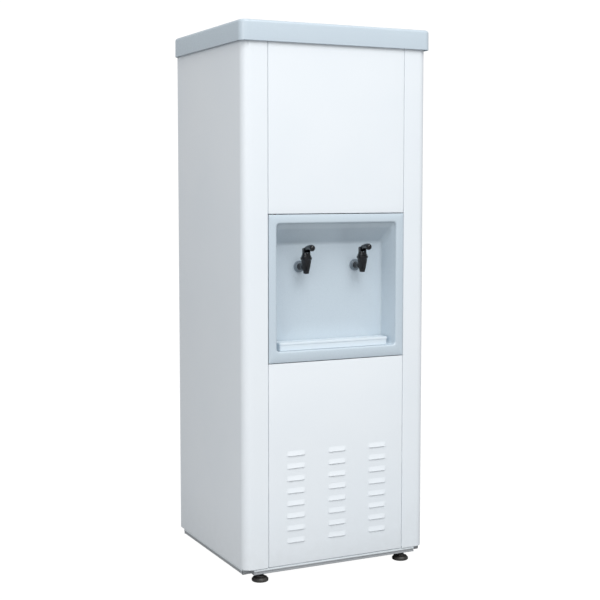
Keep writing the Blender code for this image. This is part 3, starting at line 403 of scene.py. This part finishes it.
BACK_HALF, BACK_FACE = 0.2402, 0.2085
PANEL_FOOT, PANEL_HEAD = 0.0358, 1.288
VENT_X, VENT_HALF_LENGTH, VENT_HALF_WIDTH = 0.095, 0.034, 0.0035
VENT_ROWS = 0.1335 + 0.024 * np.arange(8)
flat, faces = slotted_sheet((-BACK_HALF, PANEL_FOOT), (BACK_HALF, PANEL_HEAD), (-VENT_X, 0.0, VENT_X),
                            VENT_ROWS, VENT_HALF_LENGTH, VENT_HALF_WIDTH)
back_points = np.stack([flat[..., 0], np.full(flat.shape[:2], BACK_FACE), flat[..., 1]], -1)
make_piece("back_panel_vented", [(back_points, faces)], cabinet_white, "cabinet",
           ["back_panel"], wall=SHEET, facing=(0, 1, 0), sharp=30)
HEAD_RADIUS, HEAD_HEIGHT, HEAD_SEAT = 0.0037, 0.0019, 0.2100
ARM_HALF, ARM_REACH, ARM_DEPTH = 0.00045, 0.0021, 0.0008


def screw_head(x, z):
    """A pan head with a cross recess: the dome's level falls as 1 - (r / R) squared, and it is sunk inside
    the cross, where the nearer of its two lines is less than an arm's half width away."""
    radius = np.concatenate([[0.0], np.linspace(0.0004, 0.0034, 9), [HEAD_RADIUS, HEAD_RADIUS]])
    level = np.append(0.2104 + HEAD_HEIGHT * (1 - (radius[:-1] / 0.0040) ** 2), HEAD_SEAT)

    def recess(angle, level, radius):
        across, up = abs(radius * np.cos(angle)), abs(radius * np.sin(angle))
        arm = (np.minimum(across, up) < ARM_HALF) & (radius < ARM_REACH)
        return radius, level - ARM_DEPTH * arm
    return turned(np.stack([radius, level], -1), (x, z), "Y", recess, 40)


SCREW_X = 0.2320
screws = [screw_head(side * SCREW_X, z) for side in (-1, 1) for z in np.linspace(0.075, 1.235, 6)]
make_piece("back_screws", screws, zinc, "cabinet", sharp=30)

# ---- Refrigeration ------------------------------------------------------------------------------
# The sealed compressor, the finned condenser with its fan, the drier and the suction line are bought-in
# parts that stand on the base tray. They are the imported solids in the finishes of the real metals.

motor_black = finish("black enamel", tone(26, 27, 29), tone(34, 35, 37), 0.28, 0.45, patch_scale=25.0,
                     grain_scale=500.0, bump=0.00004, dusty=0.35)
fins = finish("mill finish aluminium", tone(196, 199, 203), tone(178, 182, 187), 0.30, 0.48,
              patch_scale=30.0, grain_scale=90.0, bump=0.00002, stretch=(6.0, 1.0, 1.0), metallic=1.0)
fan_plastic = finish("grey fan nylon", tone(92, 96, 101), tone(84, 88, 94), 0.42, 0.58, patch_scale=20.0,
                     grain_scale=700.0, bump=0.00003)
copper = finish("drawn copper", tone(196, 124, 92), tone(160, 92, 66), 0.22, 0.40, patch_scale=30.0,
                grain_scale=400.0, bump=0.00001, metallic=1.0)


def paint(material, *nodes):
    """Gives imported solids, whose shapes are right as they are, their finish."""
    for node in nodes:
        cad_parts[node].data.materials.clear()
        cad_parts[node].data.materials.append(material)


paint(motor_black, "compressor", "fan_motor")
paint(fins, "condenser")
paint(zinc, "fan_shroud")
paint(fan_plastic, "fan_rotor")
paint(copper, "filter_drier", "suction_line")

# ---- Cold tank ----------------------------------------------------------------------------------
# A drawn stainless tank on a steel shelf, wound with a copper coil and set in expanded foam. A float
# valve lets in mains water, and two soft hoses feed the taps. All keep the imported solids' shapes.

steel = finish("brushed stainless steel", tone(205, 207, 209), tone(190, 193, 196), 0.18, 0.34,
               patch_scale=6.0, grain_scale=60.0, bump=0.00001, stretch=(1.0, 1.0, 14.0), metallic=1.0)
shelf_steel = finish("galvanised sheet", tone(186, 190, 194), tone(160, 165, 170), 0.30, 0.50,
                     patch_scale=28.0, grain_scale=110.0, bump=0.00001, metallic=1.0)
silicone = finish("clear silicone", tone(226, 228, 226), tone(216, 219, 218), 0.30, 0.42, patch_scale=25.0,
                  grain_scale=500.0, bump=0.00001, transmission_weight=0.35, subsurface_weight=0.2)
brass = finish("turned brass", tone(204, 172, 104), tone(182, 148, 84), 0.20, 0.36, patch_scale=60.0,
               grain_scale=800.0, bump=0.00001, metallic=1.0)
white_plastic = finish("white moulded plastic", tone(224, 228, 230), tone(218, 223, 226), 0.30, 0.44,
                       patch_scale=14.0, grain_scale=650.0, bump=0.00002)
foam = finish("expanded foam", tone(238, 234, 222), tone(229, 224, 209), 0.72, 0.9, patch_scale=9.0,
              grain_scale=240.0, bump=0.0004)
tree = foam.node_tree
beads = add(tree, "ShaderNodeTexVoronoi", {"Vector": add(tree, "ShaderNodeTexCoord").outputs["Object"],
                                            "Scale": 260.0})
tree.links.new(beads.outputs["Distance"], tree.nodes["Bump"].inputs["Height"])
paint(steel, "cold_tank", "tank_lid", "float_arm")
paint(shelf_steel, "tank_shelf", "top_frame")
paint(foam, "tank_insulation")
paint(copper, "evaporator_coil")
paint(brass, "float_valve")
paint(white_plastic, "float_ball", "thermostat")
paint(silicone, "feed_hose", "outlet_hose_left", "outlet_hose_right")

# ---- Front panels -------------------------------------------------------------------------------
# Two pans of the same coated steel, their four edges folded back and clipped between the sides. The
# lower one has three columns of pressed louvres, open along their lower edge to let air to the fan.


def folded_pan(half, low, high, across, upright, relief=None):
    """A flat pan with its edges folded back, made as an unfolded grid that is bent. A point that lies o
    beyond the flat part goes round the bend by r sin(o / r) outwards and r (1 - cos(o / r)) backwards,
    and straight back after a quarter turn. The relief then stands out of the flat part."""
    bend, flange = 0.0016, 0.012
    quarter = bend * math.pi / 2
    reach = quarter + flange - bend
    fold = np.append(np.linspace(0, quarter, 7), reach)
    flat_half, middle, rise = half - bend, (low + high) / 2, (high - low) / 2 - bend
    x = np.concatenate([-(flat_half + fold[::-1]), across, flat_half + fold])
    z = np.concatenate([-(rise + fold[::-1]), np.asarray(upright) - middle, rise + fold])
    x_grid, z_grid = np.meshgrid(x, z)
    over_x = np.maximum(abs(x_grid) - flat_half, 0)
    over_z = np.maximum(abs(z_grid) - rise, 0)
    over = np.hypot(over_x, over_z)
    kept = np.minimum(over, reach)
    round_part = np.minimum(kept, quarter) / bend
    share = np.divide(bend * np.sin(round_part), over, out=np.zeros_like(over), where=over > 0)
    back = bend * (1 - np.cos(round_part)) + np.maximum(kept - quarter, 0)
    proud = relief(x_grid, z_grid + middle) if relief else np.zeros_like(back)
    points = np.stack([np.clip(x_grid, -flat_half, flat_half) + np.sign(x_grid) * over_x * share,
                       -HALF_DEPTH + back - proud,
                       np.clip(z_grid, -rise, rise) + np.sign(z_grid) * over_z * share + middle], -1)
    faces = quads(*points.shape[:2])
    lip = abs(np.diff(z)) < 5e-6
    standing = np.maximum(proud.ravel()[faces[:, 2]], proud.ravel()[faces[:, 3]]) > 0
    return points, faces[~(lip[faces[:, 0] // len(x)] & standing)]


LOUVRE_X, LOUVRE_HALF, LOUVRE_END = 0.109, 0.024, 0.007
LOUVRE_HEIGHT, LOUVRE_PROUD, BESIDE = 0.0115, 0.0025, 0.0004
LOUVRE_LEVELS = 0.0890 + 0.02955 * np.arange(8)
LIP = 1e-6


def louvres(x, z):
    """Pressed hoods: the relief is (1 - t) to the power 1.15, with t from 0 at the open lower edge to 1 at
    the top. Both ends fall off as (1 - e squared) to the power 0.8, over the last few millimetres."""
    relief = np.zeros_like(x)
    beside = np.min([abs(x - centre) for centre in (-LOUVRE_X, 0, LOUVRE_X)], axis=0)
    end = np.clip((beside - LOUVRE_HALF + LOUVRE_END) / LOUVRE_END, 0, 1)
    for level in LOUVRE_LEVELS:
        t = (z - level) / LOUVRE_HEIGHT
        inside = (z - level > LIP / 2) & (t < 1)
        relief += np.where(inside, (1 - np.clip(t, 0, 1)) ** 1.15, 0)
    return LOUVRE_PROUD * relief * (1 - end**2) ** 0.8


SEAM_GAP = 0.0009
PANEL_HALF = SEAM - SEAM_GAP
UPPER_FOOT, LOWER_HEAD = 0.862, 0.5149
make_piece("upper_front_panel_folded",
           [folded_pan(PANEL_HALF, UPPER_FOOT, PANEL_HEAD, np.linspace(-0.15, 0.15, 5),
                       np.linspace(0.88, 1.27, 5))],
           cabinet_white, "cabinet", ["upper_front_panel"], wall=SHEET, facing=(0, -1, 0))
end_steps = LOUVRE_HALF - np.array([-BESIDE, *(LOUVRE_END * np.array([0, 0.04, 0.12, 0.25, 0.45, 0.7, 1.0]))])
louvre_across = np.concatenate([centre + np.concatenate([-end_steps, [0], end_steps[::-1]])
                                for centre in (-LOUVRE_X, 0, LOUVRE_X)])
hood_steps = LOUVRE_HEIGHT * np.array([0.12, 0.25, 0.4, 0.55, 0.68, 0.8, 0.9, 0.96, 1.0])
louvre_upright = np.concatenate([level + np.array([-BESIDE, 0, LIP, *hood_steps, LOUVRE_HEIGHT + BESIDE])
                                 for level in LOUVRE_LEVELS])
make_piece("lower_front_panel_louvred",
           [folded_pan(PANEL_HALF, PANEL_FOOT, LOWER_HEAD, louvre_across, louvre_upright, louvres)],
           cabinet_white, "cabinet", ["lower_front_panel"], wall=0.0010, facing=(0, -1, 0))

# ---- Alcove -------------------------------------------------------------------------------------
# One blue-grey moulding: a bezel with a soft inner edge, walls that draw in towards the back, and a
# ceiling that slopes down to the wall the taps are bolted through.


def rounded_loops(half_a, half_b, corner, steps=8):
    """Rounded rectangles, one for each row of values: quarter circles of the corner's radius about the four
    corner centres, (a - c, b - c) away from the middle with each pair of signs."""
    half_a, half_b, corner = (np.asarray(v, float)[:, None] for v in (half_a, half_b, corner))
    quarter = np.linspace(0, math.pi / 2, steps + 1)
    turn = np.concatenate([quarter + k * math.pi / 2 for k in range(4)])[None, :]
    side_a = np.repeat([1, -1, -1, 1], steps + 1)[None, :]
    side_b = np.repeat([1, 1, -1, -1], steps + 1)[None, :]
    return np.stack([side_a * (half_a - corner) + corner * np.cos(turn),
                     side_b * (half_b - corner) + corner * np.sin(turn)], -1)


def alcove_surface():
    """Loops of a rounded rectangle from the bezel's back edge, round its face and in along the walls to the
    back, where the last loop closes to a line. Each row is half width, bottom, top, corner radius, depth."""
    face, soft = -0.2110, 0.0045
    rows = [(0.1788, 0.5165, 0.8604, 0.0020, -0.2079), (0.1788, 0.5165, 0.8604, 0.0020, -0.2095),
            (0.1785, 0.5168, 0.8601, 0.0020, -0.2105), (0.1777, 0.5176, 0.8593, 0.0020, face)]
    for a in np.linspace(0, math.pi / 2, 9):
        out = soft * (1 - math.sin(a))
        rows.append((0.1580 + out, 0.5428 - out, 0.8391 + out, 0.0080 + out * 0.6,
                     face + soft * (1 - math.cos(a))))
    rows.append((0.15780, 0.5426, 0.8375, 0.0080, -0.2050))
    rows.append((0.15750, 0.5412, 0.8360, 0.0080, -0.2035))
    front, rear, fillet = -0.2035, -0.1550, 0.006
    for t in np.linspace(0, 1, 9)[1:]:
        y = front + (rear - fillet - front) * t
        share = (y + HALF_DEPTH) / 0.0550
        rows.append((0.1582 - 0.0107 * share, 0.5412, 0.8391 - 0.0491 * share, 0.0080 + 0.0040 * t, y))
    wide, low, high, corner, start = rows[-1]
    for a in np.linspace(0, math.pi / 2, 7)[1:]:
        pull = fillet * (1 - math.cos(a))
        rows.append((wide - pull, low + pull * 0.3, high - pull - 0.004 * math.sin(a), corner,
                     start + fillet * math.sin(a)))
    wide, low, high, corner, _ = rows[-1]
    half = (high - low) / 2
    rows.append((wide - half * 0.5, low + half * 0.5, high - half * 0.5, corner * 0.5, rear))
    rows.append((wide - half, low + half, high - half, 0.0, rear))
    values = np.array(rows)
    loops = rounded_loops(values[:, 0], (values[:, 2] - values[:, 1]) / 2, values[:, 3], 10)
    middle = ((values[:, 1] + values[:, 2]) / 2)[:, None]
    depth = np.broadcast_to(values[:, 4:5], loops.shape[:2])
    points = np.stack([loops[..., 0], depth, loops[..., 1] + middle], -1)
    return points, quads(*points.shape[:2], wrap=True)


moulding = finish("blue grey moulding", tone(200, 213, 222), tone(196, 209, 219), 0.24, 0.34,
                  patch_scale=3.0, grain_scale=750.0, bump=0.000012, coat_weight=0.25, coat_roughness=0.12)
make_piece("alcove_liner_moulded", [alcove_surface()], moulding, "cabinet",
           ["alcove_liner"], wall=0.0022, facing=(0, -1, 0), sharp=45)

# ---- Drip tray ----------------------------------------------------------------------------------
# A small white moulded tray that lifts out of the sill. Its rim stands out over the front, and a
# slotted plate lies on a ledge inside it.


def carried(rows, middle, half_a, half_b, corner, steps=8):
    """A profile carried round a rounded rectangle in plan: each row is (inset, level), and the corner's
    radius shrinks with the inset; the first and last rows close to a line."""
    rows = np.asarray(rows, float)
    inset = rows[:, 0]
    radius = np.minimum(np.maximum(corner - inset, corner * 0.35), np.maximum(half_b - inset, 0))
    loops = rounded_loops(half_a - inset, half_b - inset, radius, steps)
    level = np.broadcast_to(rows[:, 1:2], loops.shape[:2])
    points = np.stack([loops[..., 0] + middle[0], loops[..., 1] + middle[1], level], -1)
    return points, quads(*points.shape[:2], wrap=True)


TRAY_MIDDLE, TRAY_HALF_X, TRAY_HALF_Y = (0.0, -0.178), 0.1450, 0.018
tray_white = finish("tray white", tone(226, 235, 241), tone(222, 232, 239), 0.26, 0.38, patch_scale=10.0,
                    grain_scale=700.0, bump=0.000015, coat_weight=0.15, coat_roughness=0.15)
TRAY_FOOT, TRAY_FLOOR, TRAY_TOP, LEDGE = 0.5416, 0.5436, 0.5610, 0.5587
tray_rows = bent_path([(0.0180, TRAY_FOOT), (0.0016, TRAY_FOOT), (0.0012, 0.5554), (0.0, 0.5560),
                       (0.0, TRAY_TOP), (0.0020, TRAY_TOP), (0.0020, LEDGE), (0.0040, LEDGE),
                       (0.0044, TRAY_FLOOR), (0.0180, TRAY_FLOOR)],
                      [0.0010, 0.0004, 0.0003, 0.0008, 0.0003, 0.0002, 0.0003, 0.0020], 5)
make_piece("drip_tray_moulded", [carried(tray_rows, TRAY_MIDDLE, TRAY_HALF_X, TRAY_HALF_Y, 0.0045)],
           tray_white, "tray", ["drip_tray"], sharp=40)
GRILLE_HALF_X, GRILLE_FRONT, GRILLE_REAR = 0.1427, -0.1937, -0.1623
SLOT_HALF_LENGTH, SLOT_HALF_WIDTH, SLOT_APART_X, SLOT_APART_Y = 0.0302, 0.0010, 0.0685, 0.0056
flat, faces = slotted_sheet((-GRILLE_HALF_X, GRILLE_FRONT), (GRILLE_HALF_X, GRILLE_REAR),
                            SLOT_APART_X * (np.arange(4) - 1.5),
                            TRAY_MIDDLE[1] + SLOT_APART_Y * (np.arange(5) - 2),
                            SLOT_HALF_LENGTH, SLOT_HALF_WIDTH)
grille_points = np.stack([flat[..., 0], flat[..., 1], np.full(flat.shape[:2], TRAY_TOP)], -1)
make_piece("drip_grille_slotted", [(grille_points, faces)], tray_white, "grille",
           ["drip_grille"], wall=0.0018, facing=(0, 0, 1), sharp=30)

# ---- Taps ---------------------------------------------------------------------------------------
# Two glossy black taps moulded in acetal. Each has a fluted barrel over its spout, a capped chamber
# with the valve, a lever on a steel pin, and a threaded shank held by a nut behind the wall.

tap_black = finish("glossy black acetal", tone(7, 9, 15), tone(11, 13, 20), 0.10, 0.19, patch_scale=60.0,
                   grain_scale=900.0, bump=0.000006, coat_weight=0.35, coat_roughness=0.06)
rosette_grey = finish("smoky rosette", tone(150, 163, 174), tone(136, 150, 162), 0.14, 0.26,
                      patch_scale=60.0, grain_scale=700.0, bump=0.00001, transmission_weight=0.25,
                      coat_weight=0.3)
BARREL_Y, SHANK_Z, PIN_Z = -0.194, 0.7360, 0.7760
BARREL = bent_path([(0.0040, 0.7395), (0.0040, 0.7217), (0.0047, 0.7210), (0.0060, 0.7210), (0.0068, 0.7230),
                    (0.0070, 0.7255), (0.0090, 0.7345), (0.0117, 0.7505), (0.0120, 0.7536), (0.0137, 0.7546),
                    (0.0137, 0.7601), (0.0098, 0.7605), (0.0095, 0.7445), (0.0040, 0.7395)],
                   [0.0003, 0.0003, 0.0004, 0.0010, 0.0008, 0.0040, 0.0020, 0.0012, 0.0010, 0.0012, 0.0003,
                    0.0005], 6)
BONNET = bent_path([(0.0030, 0.7696), (0.0030, 0.7684), (0.0080, 0.7684), (0.0080, 0.7608), (0.0120, 0.7608),
                    (0.0114, 0.7637), (0.0102, 0.7650), (0.0097, 0.7694), (0.0030, 0.7696)],
                   [0.0003, 0.0003, 0.0002, 0.0004, 0.0010, 0.0008, 0.0010], 6)
ROSETTE = bent_path([(0.0068, -0.1553), (0.0140, -0.1553), (0.0140, -0.1572), (0.0118, -0.1600),
                     (0.0104, -0.1586), (0.0088, -0.1603), (0.0068, -0.1603), (0.0068, -0.1553)],
                    [0.0003, 0.0008, 0.0010, 0.0008, 0.0006, 0.0003], 6)
SHANK = bent_path([(0.0040, -0.1002), (0.0058, -0.1002), (0.0065, -0.1012), (0.0065, -0.1605),
                   (0.0082, -0.1610), (0.0078, -0.1640), (0.0066, -0.1680), (0.0068, -0.1780),
                   (0.0078, -0.1850), (0.0040, -0.1850), (0.0040, -0.1002)],
                  [0.0003, 0.0004, 0.0003, 0.0006, 0.0012, 0.0030, 0.0030, 0.0008, 0.0002], 5)


def tap_lever(x):
    """The lever: ovals carried along a curve from the hub, up and forward, to a round tip.

    The curve is (1 - t)^2 hub + 2 t (1 - t) bend + t^2 tip, and runs straight on at both ends. Each oval is
    (wide cos^q, high sin^q), with q from 0.35, nearly a block, at the hub to 1, an ellipse, further out.
    Both ends close as a quarter of a circle does: the square root of 1 - (share of the end)^2."""
    hub = np.array([BARREL_Y + 0.0006, PIN_Z - 0.0004])
    bend = np.array([BARREL_Y - 0.0080, PIN_Z + 0.0085])
    tip = np.array([BARREL_Y - 0.0312, PIN_Z + 0.0064])
    t = np.concatenate([np.linspace(-0.32, -0.05, 8), np.linspace(0, 1, 26), np.linspace(1.03, 1.17, 9)])
    s = np.clip(t, 0, 1)[:, None]
    line = (1 - s) ** 2 * hub + 2 * s * (1 - s) * bend + s**2 * tip
    slope = 2 * (1 - s) * (bend - hub) + 2 * s * (tip - bend)
    slope /= np.linalg.norm(slope, axis=1)[:, None]
    behind, ahead = np.minimum(t, 0) / 0.32, np.maximum(t - 1, 0) / 0.17
    line = line + slope * (behind * 0.0052 + ahead * 0.0070)[:, None]
    closing = np.sqrt(np.clip(1 - behind**2 - ahead**2, 0, 1))
    closing[[0, -1]] = 0
    high = closing * np.interp(t, [0, 0.25, 0.55, 0.82, 1], [0.0057, 0.0060, 0.0064, 0.0074, 0.0077])
    wide = closing * np.interp(t, [0, 0.25, 0.55, 0.82, 1], [0.0060, 0.0060, 0.0060, 0.0066, 0.0070])
    angle = np.linspace(0, 2 * math.pi, 32, endpoint=False)[None, :] + math.pi / 32
    round_off = np.interp(t, [0.05, 0.45], [0.35, 1])[:, None]
    lift = high[:, None] * np.sign(np.sin(angle)) * np.abs(np.sin(angle)) ** round_off
    side_step = wide[:, None] * np.sign(np.cos(angle)) * np.abs(np.cos(angle)) ** round_off
    points = np.stack([x + side_step,
                       line[:, :1] - slope[:, 1:] * lift, line[:, 1:] + slope[:, :1] * lift], -1)
    return points, quads(*points.shape[:2], wrap=True)


def bonnet_ear(x):
    """One ear of the bonnet, a rounded plate: an arched outline drawn from side to side of its thickness."""
    half, foot, top = 0.0056, 0.7670, 0.7816
    arch = bent_path([(BARREL_Y - half, foot), (BARREL_Y - half, top), (BARREL_Y + half, top),
                      (BARREL_Y + half, foot)], [0.0054, 0.0054], 10)
    middle = arch.mean(axis=0)
    rows = [(0.0, -0.0009), (0.93, -0.0009), (1.0, -0.0006), (1.0, 0.0006), (0.93, 0.0009), (0.0, 0.0009)]
    outline = np.stack([middle + (arch - middle) * grow for grow, _ in rows])
    side_steps = np.array([x + step for _, step in rows])[:, None, None]
    across = np.broadcast_to(side_steps, outline.shape[:2] + (1,))
    points = np.concatenate([across, outline], -1)
    return points, quads(*points.shape[:2], wrap=True)


EAR_X = 0.0073
for side in ("left", "right"):
    low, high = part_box("tap_body_" + side)
    tap_x = (low.x + high.x) / 2
    barrel = turned(dense(BARREL, 0.0012), (tap_x, BARREL_Y), "Z",
                    flutes(16, 0.0010, 0.7262, 0.7520, 0.003), 144)
    shank = turned(dense(SHANK, 0.0004), (tap_x, SHANK_Z), "Y", thread(-0.1500, -0.1010, 0.0015, 0.0006), 48)
    make_piece("tap_barrel_" + side, [barrel, shank], tap_black, "cabinet",
               ["tap_body_" + side])
    bonnet = turned(BONNET, (tap_x, BARREL_Y), "Z", segments=72)
    make_piece("tap_cap_" + side, [bonnet, bonnet_ear(tap_x - EAR_X), bonnet_ear(tap_x + EAR_X)],
               tap_black, "cabinet", ["tap_bonnet_" + side])
    make_piece("tap_handle_" + side, [tap_lever(tap_x)], tap_black, "lever_" + side,
               ["tap_lever_" + side], sharp=70)
    make_piece("tap_rosette_dished_" + side, [turned(ROSETTE, (tap_x, SHANK_Z), "Y", segments=72)],
               rosette_grey, "cabinet", ["tap_rosette_" + side])
    paint(zinc, "tap_pin_" + side, "tap_spring_" + side, "tap_nut_" + side)
    paint(tap_black, "tap_plunger_" + side)
    paint(silicone, "tap_seat_" + side)

# ---- Lid ----------------------------------------------------------------------------------------
# The same blue-grey moulding as the alcove: an upturned shell that drops over the top frame, with
# rounded corners, a softly rolled top edge and a very slight crown.

LID_HALF_X, LID_HALF_Y, LID_CORNER = 0.2495, 0.2175, 0.018
LID_FOOT, LID_INSIDE, LID_TOP = 1.2522, 1.2960, 1.3000
lid_rows = bent_path([(LID_HALF_Y, LID_INSIDE), (0.0028, LID_INSIDE), (0.0026, LID_FOOT), (0.0, LID_FOOT),
                      (0.0004, 1.2994), (0.0240, 1.2996), (0.0300, LID_TOP), (LID_HALF_Y, LID_TOP)],
                     [0.0025, 0.0008, 0.0010, 0.0068, 0.0080, 0.0080], 8)
make_piece("top_cover_moulded", [carried(lid_rows, (0.0, 0.0), LID_HALF_X, LID_HALF_Y, LID_CORNER, 14)],
           moulding, "lid", ["top_cover"], sharp=40)

# ---- Rear fittings ------------------------------------------------------------------------------
# Brass water inlet and drain stubs clamped through the back, a black cable gland with its cord left
# out, and the thermostat's knob.


def hexagon(low, high, across_flats):
    """Six flats between two levels: the radius is cut down to half the width over the cosine of the angle
    from the nearest flat's middle."""
    def shape(angle, level, radius):
        from_flat = (angle + math.pi / 6) % (math.pi / 3) - math.pi / 6
        flat = across_flats / 2 / np.cos(from_flat)
        inside = (level > low - 1e-9) & (level < high + 1e-9)
        return np.where(inside, np.minimum(radius, flat), radius), level
    return shape


def both(first, second):
    """Two shapings of a turned piece, one after the other."""
    def shape(angle, level, radius):
        radius, level = first(angle, level, radius)
        return second(angle, level, radius)
    return shape


OUTSIDE, STUB_END, STUB_BORE, NUT_FLATS = 0.2103, 0.2330, 0.0042, 0.0232
for name in ("inlet_fitting", "drain_fitting"):
    low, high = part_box(name)
    centre = ((low.x + high.x) / 2, (low.z + high.z) / 2)
    stub = [(STUB_BORE, 0.1850), (0.0072, 0.1850), (0.0075, 0.1854), (0.0075, OUTSIDE), (0.0140, OUTSIDE),
            (0.0140, OUTSIDE + 0.0012), (0.0130, OUTSIDE + 0.0018), (0.0130, OUTSIDE + 0.0062),
            (0.0122, OUTSIDE + 0.0068), (0.0088, OUTSIDE + 0.0070), (0.0088, 0.2322), (0.0080, STUB_END),
            (0.0050, STUB_END), (STUB_BORE, 0.2320), (STUB_BORE, 0.1850)]
    shaped = both(hexagon(OUTSIDE + 0.0018, OUTSIDE + 0.0062, NUT_FLATS),
                  thread(0.2176, 0.2325, 0.0014, 0.0007))
    make_piece(name + "_threaded", [turned(dense(stub, 0.0003), centre, "Y", shaped, 72)], brass, "cabinet",
               [name], sharp=32)
low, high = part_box("cord_gland")
gland = bent_path([(0.0042, 0.2000), (0.0078, 0.2000), (0.0078, OUTSIDE), (0.0130, OUTSIDE),
                   (0.0130, OUTSIDE + 0.0022), (0.0116, OUTSIDE + 0.0030), (0.0110, OUTSIDE + 0.0085),
                   (0.0072, OUTSIDE + 0.0118), (0.0042, OUTSIDE + 0.0118), (0.0042, 0.2000)],
                  [0.0004, 0.0003, 0.0005, 0.0005, 0.0004, 0.0025, 0.0012, 0.0004], 5)
grip = flutes(16, 0.0007, OUTSIDE + 0.0030, OUTSIDE + 0.0088)
centre = ((low.x + high.x) / 2, (low.z + high.z) / 2)
make_piece("cord_gland_domed", [turned(dense(gland, 0.0008), centre, "Y", grip, 96)],
           tap_black, "cabinet", ["cord_gland"])


def pointer(angle, level, radius):
    """Grip flutes round the knob's body, and a raised pointer on its face along the upward direction."""
    radius, _ = flutes(22, 0.0007, 0.2166, 0.2236, 0.0008)(angle, level, radius)
    beside = abs(radius * np.cos(angle))
    on_face = (level > 0.2238) & (np.sin(angle) > 0)
    return radius, level + np.where(on_face, 0.0006 * np.clip(1 - beside / 0.0014, 0, 1), 0)


SHAFT_END, KNOB_FACE = 0.2222, 0.2244
knob_profile = dense([(0.0033, SHAFT_END), (0.0033, 0.2105), (0.0035, OUTSIDE), (0.0157, OUTSIDE),
                      (0.0160, 0.2107), (0.0158, 0.2146), (0.0152, 0.2153), (0.0140, 0.2158),
                      (0.0133, 0.2168), (0.0124, 0.2232), (0.0118, 0.2241), (0.0108, KNOB_FACE),
                      (0.0, KNOB_FACE)], 0.0007)
knob_profile = np.concatenate([[(0.0, SHAFT_END)], knob_profile])
low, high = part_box("thermostat_knob")
centre = ((low.x + high.x) / 2, (low.z + high.z) / 2)
make_piece("thermostat_knob_fluted", [turned(knob_profile, centre, "Y", pointer, 132)],
           tap_black, "knob", ["thermostat_knob"])

# ---- Studio -------------------------------------------------------------------------------------
# A plain pale floor under a white sky, one broad soft light high in front, a weak one on the left, and
# the camera. The sky is dimmer in reflections than it is as a light, so that gloss stays quiet.

FLOOR_HALF = 9
corners = [(-FLOOR_HALF, -FLOOR_HALF, 0), (FLOOR_HALF, -FLOOR_HALF, 0),
           (FLOOR_HALF, FLOOR_HALF, 0), (-FLOOR_HALF, FLOOR_HALF, 0)]
floor_mesh = bpy.data.meshes.new("studio_floor")
floor_mesh.from_pydata(corners, [], [(0, 1, 2, 3)])
studio_floor = bpy.data.objects.new("studio_floor", floor_mesh)
bpy.context.scene.collection.objects.link(studio_floor)
paper = bpy.data.materials.new("pale paper floor")
paper.use_nodes = True
tree = paper.node_tree
look = add(tree, "ShaderNodeGroup", node_tree=variation)
for label, value in (("Colour", tone(149, 150, 152)), ("Patch Colour", tone(146, 148, 150)),
                     ("Patch Scale", 0.8), ("Grain Scale", 200.0), ("Stretch", (1, 1, 1)),
                     ("Smooth", 0.75), ("Rough", 0.85)):
    look.inputs[label].default_value = value
surface = tree.nodes["Principled BSDF"]
tree.links.new(look.outputs["Colour"], surface.inputs["Base Color"])
tree.links.new(look.outputs["Roughness"], surface.inputs["Roughness"])
# Seen directly, the floor is mostly its own pale glow, so that it meets the sky without a line. The light
# it throws back up on the cabinet comes from its grey paper alone.
GLOW, GLOW_SHARE = 1.17, 0.86
glow = add(tree, "ShaderNodeEmission", {"Color": (1, 1, 1, 1), "Strength": GLOW})
shown = add(tree, "ShaderNodeMath", {0: add(tree, "ShaderNodeLightPath").outputs["Is Camera Ray"],
                                     1: GLOW_SHARE}, operation="MULTIPLY")
pale = add(tree, "ShaderNodeMixShader", {0: shown.outputs[0], 1: surface.outputs[0], 2: glow.outputs[0]})
tree.links.new(pale.outputs[0], tree.nodes["Material Output"].inputs["Surface"])
floor_mesh.materials.append(paper)

world = bpy.data.worlds.new("studio sky")
bpy.context.scene.world = world
world.use_nodes = True
sky = world.node_tree
sky.nodes.clear()
AS_LIGHT, AS_REFLECTION, AS_BACKDROP = 0.73, 0.36, 1.05
rays = add(sky, "ShaderNodeLightPath").outputs
mirrored = add(sky, "ShaderNodeMapRange", {0: rays["Is Glossy Ray"], 3: AS_LIGHT, 4: AS_REFLECTION})
lighting = add(sky, "ShaderNodeBackground",
               {"Color": (0.98, 0.99, 1.0, 1.0), "Strength": mirrored.outputs[0]})
backdrop = add(sky, "ShaderNodeBackground", {"Color": (1.0, 1.0, 1.0, 1.0), "Strength": AS_BACKDROP})
blend = add(sky, "ShaderNodeMixShader",
            {0: rays["Is Camera Ray"], 1: lighting.outputs[0], 2: backdrop.outputs[0]})
sky.links.new(blend.outputs[0], add(sky, "ShaderNodeOutputWorld").inputs["Surface"])


def soft_light(name, place, aim, size, power):
    """A square lamp of that size in metres, turned to face the point it is aimed at."""
    lamp = bpy.data.lights.new(name, "AREA")
    lamp.shape = "SQUARE"
    lamp.size = size
    lamp.energy = power
    light = bpy.data.objects.new(name, lamp)
    bpy.context.scene.collection.objects.link(light)
    x, y, z = (a - b for a, b in zip(aim, place))
    light.location = place
    light.rotation_euler = (math.atan2(math.hypot(x, y), -z), 0, math.atan2(y, x) - math.pi / 2)


soft_light("key", (-0.2, -4.2, 4.9), (0, 0, 0.70), 3.8, 205)
soft_light("fill", (-2.6, -2.2, 1.8), (0, 0, 0.6), 1.8, 17)

CAMERA_PLACE, LOOKING_DOWN, TURNED_RIGHT = (-1.3395, -2.7510, 0.9240), 4.458, 26.022
bpy.context.scene.view_settings.view_transform = "Standard"
camera_data = bpy.data.cameras.new("camera")
camera_data.sensor_width = 36
camera_data.lens = 73.2
camera_data.shift_y = -0.03
camera = bpy.data.objects.new("camera", camera_data)
bpy.context.scene.collection.objects.link(camera)
camera.location = CAMERA_PLACE
camera.rotation_euler = (math.radians(90 - LOOKING_DOWN), 0, math.radians(-TURNED_RIGHT))
bpy.context.scene.camera = camera
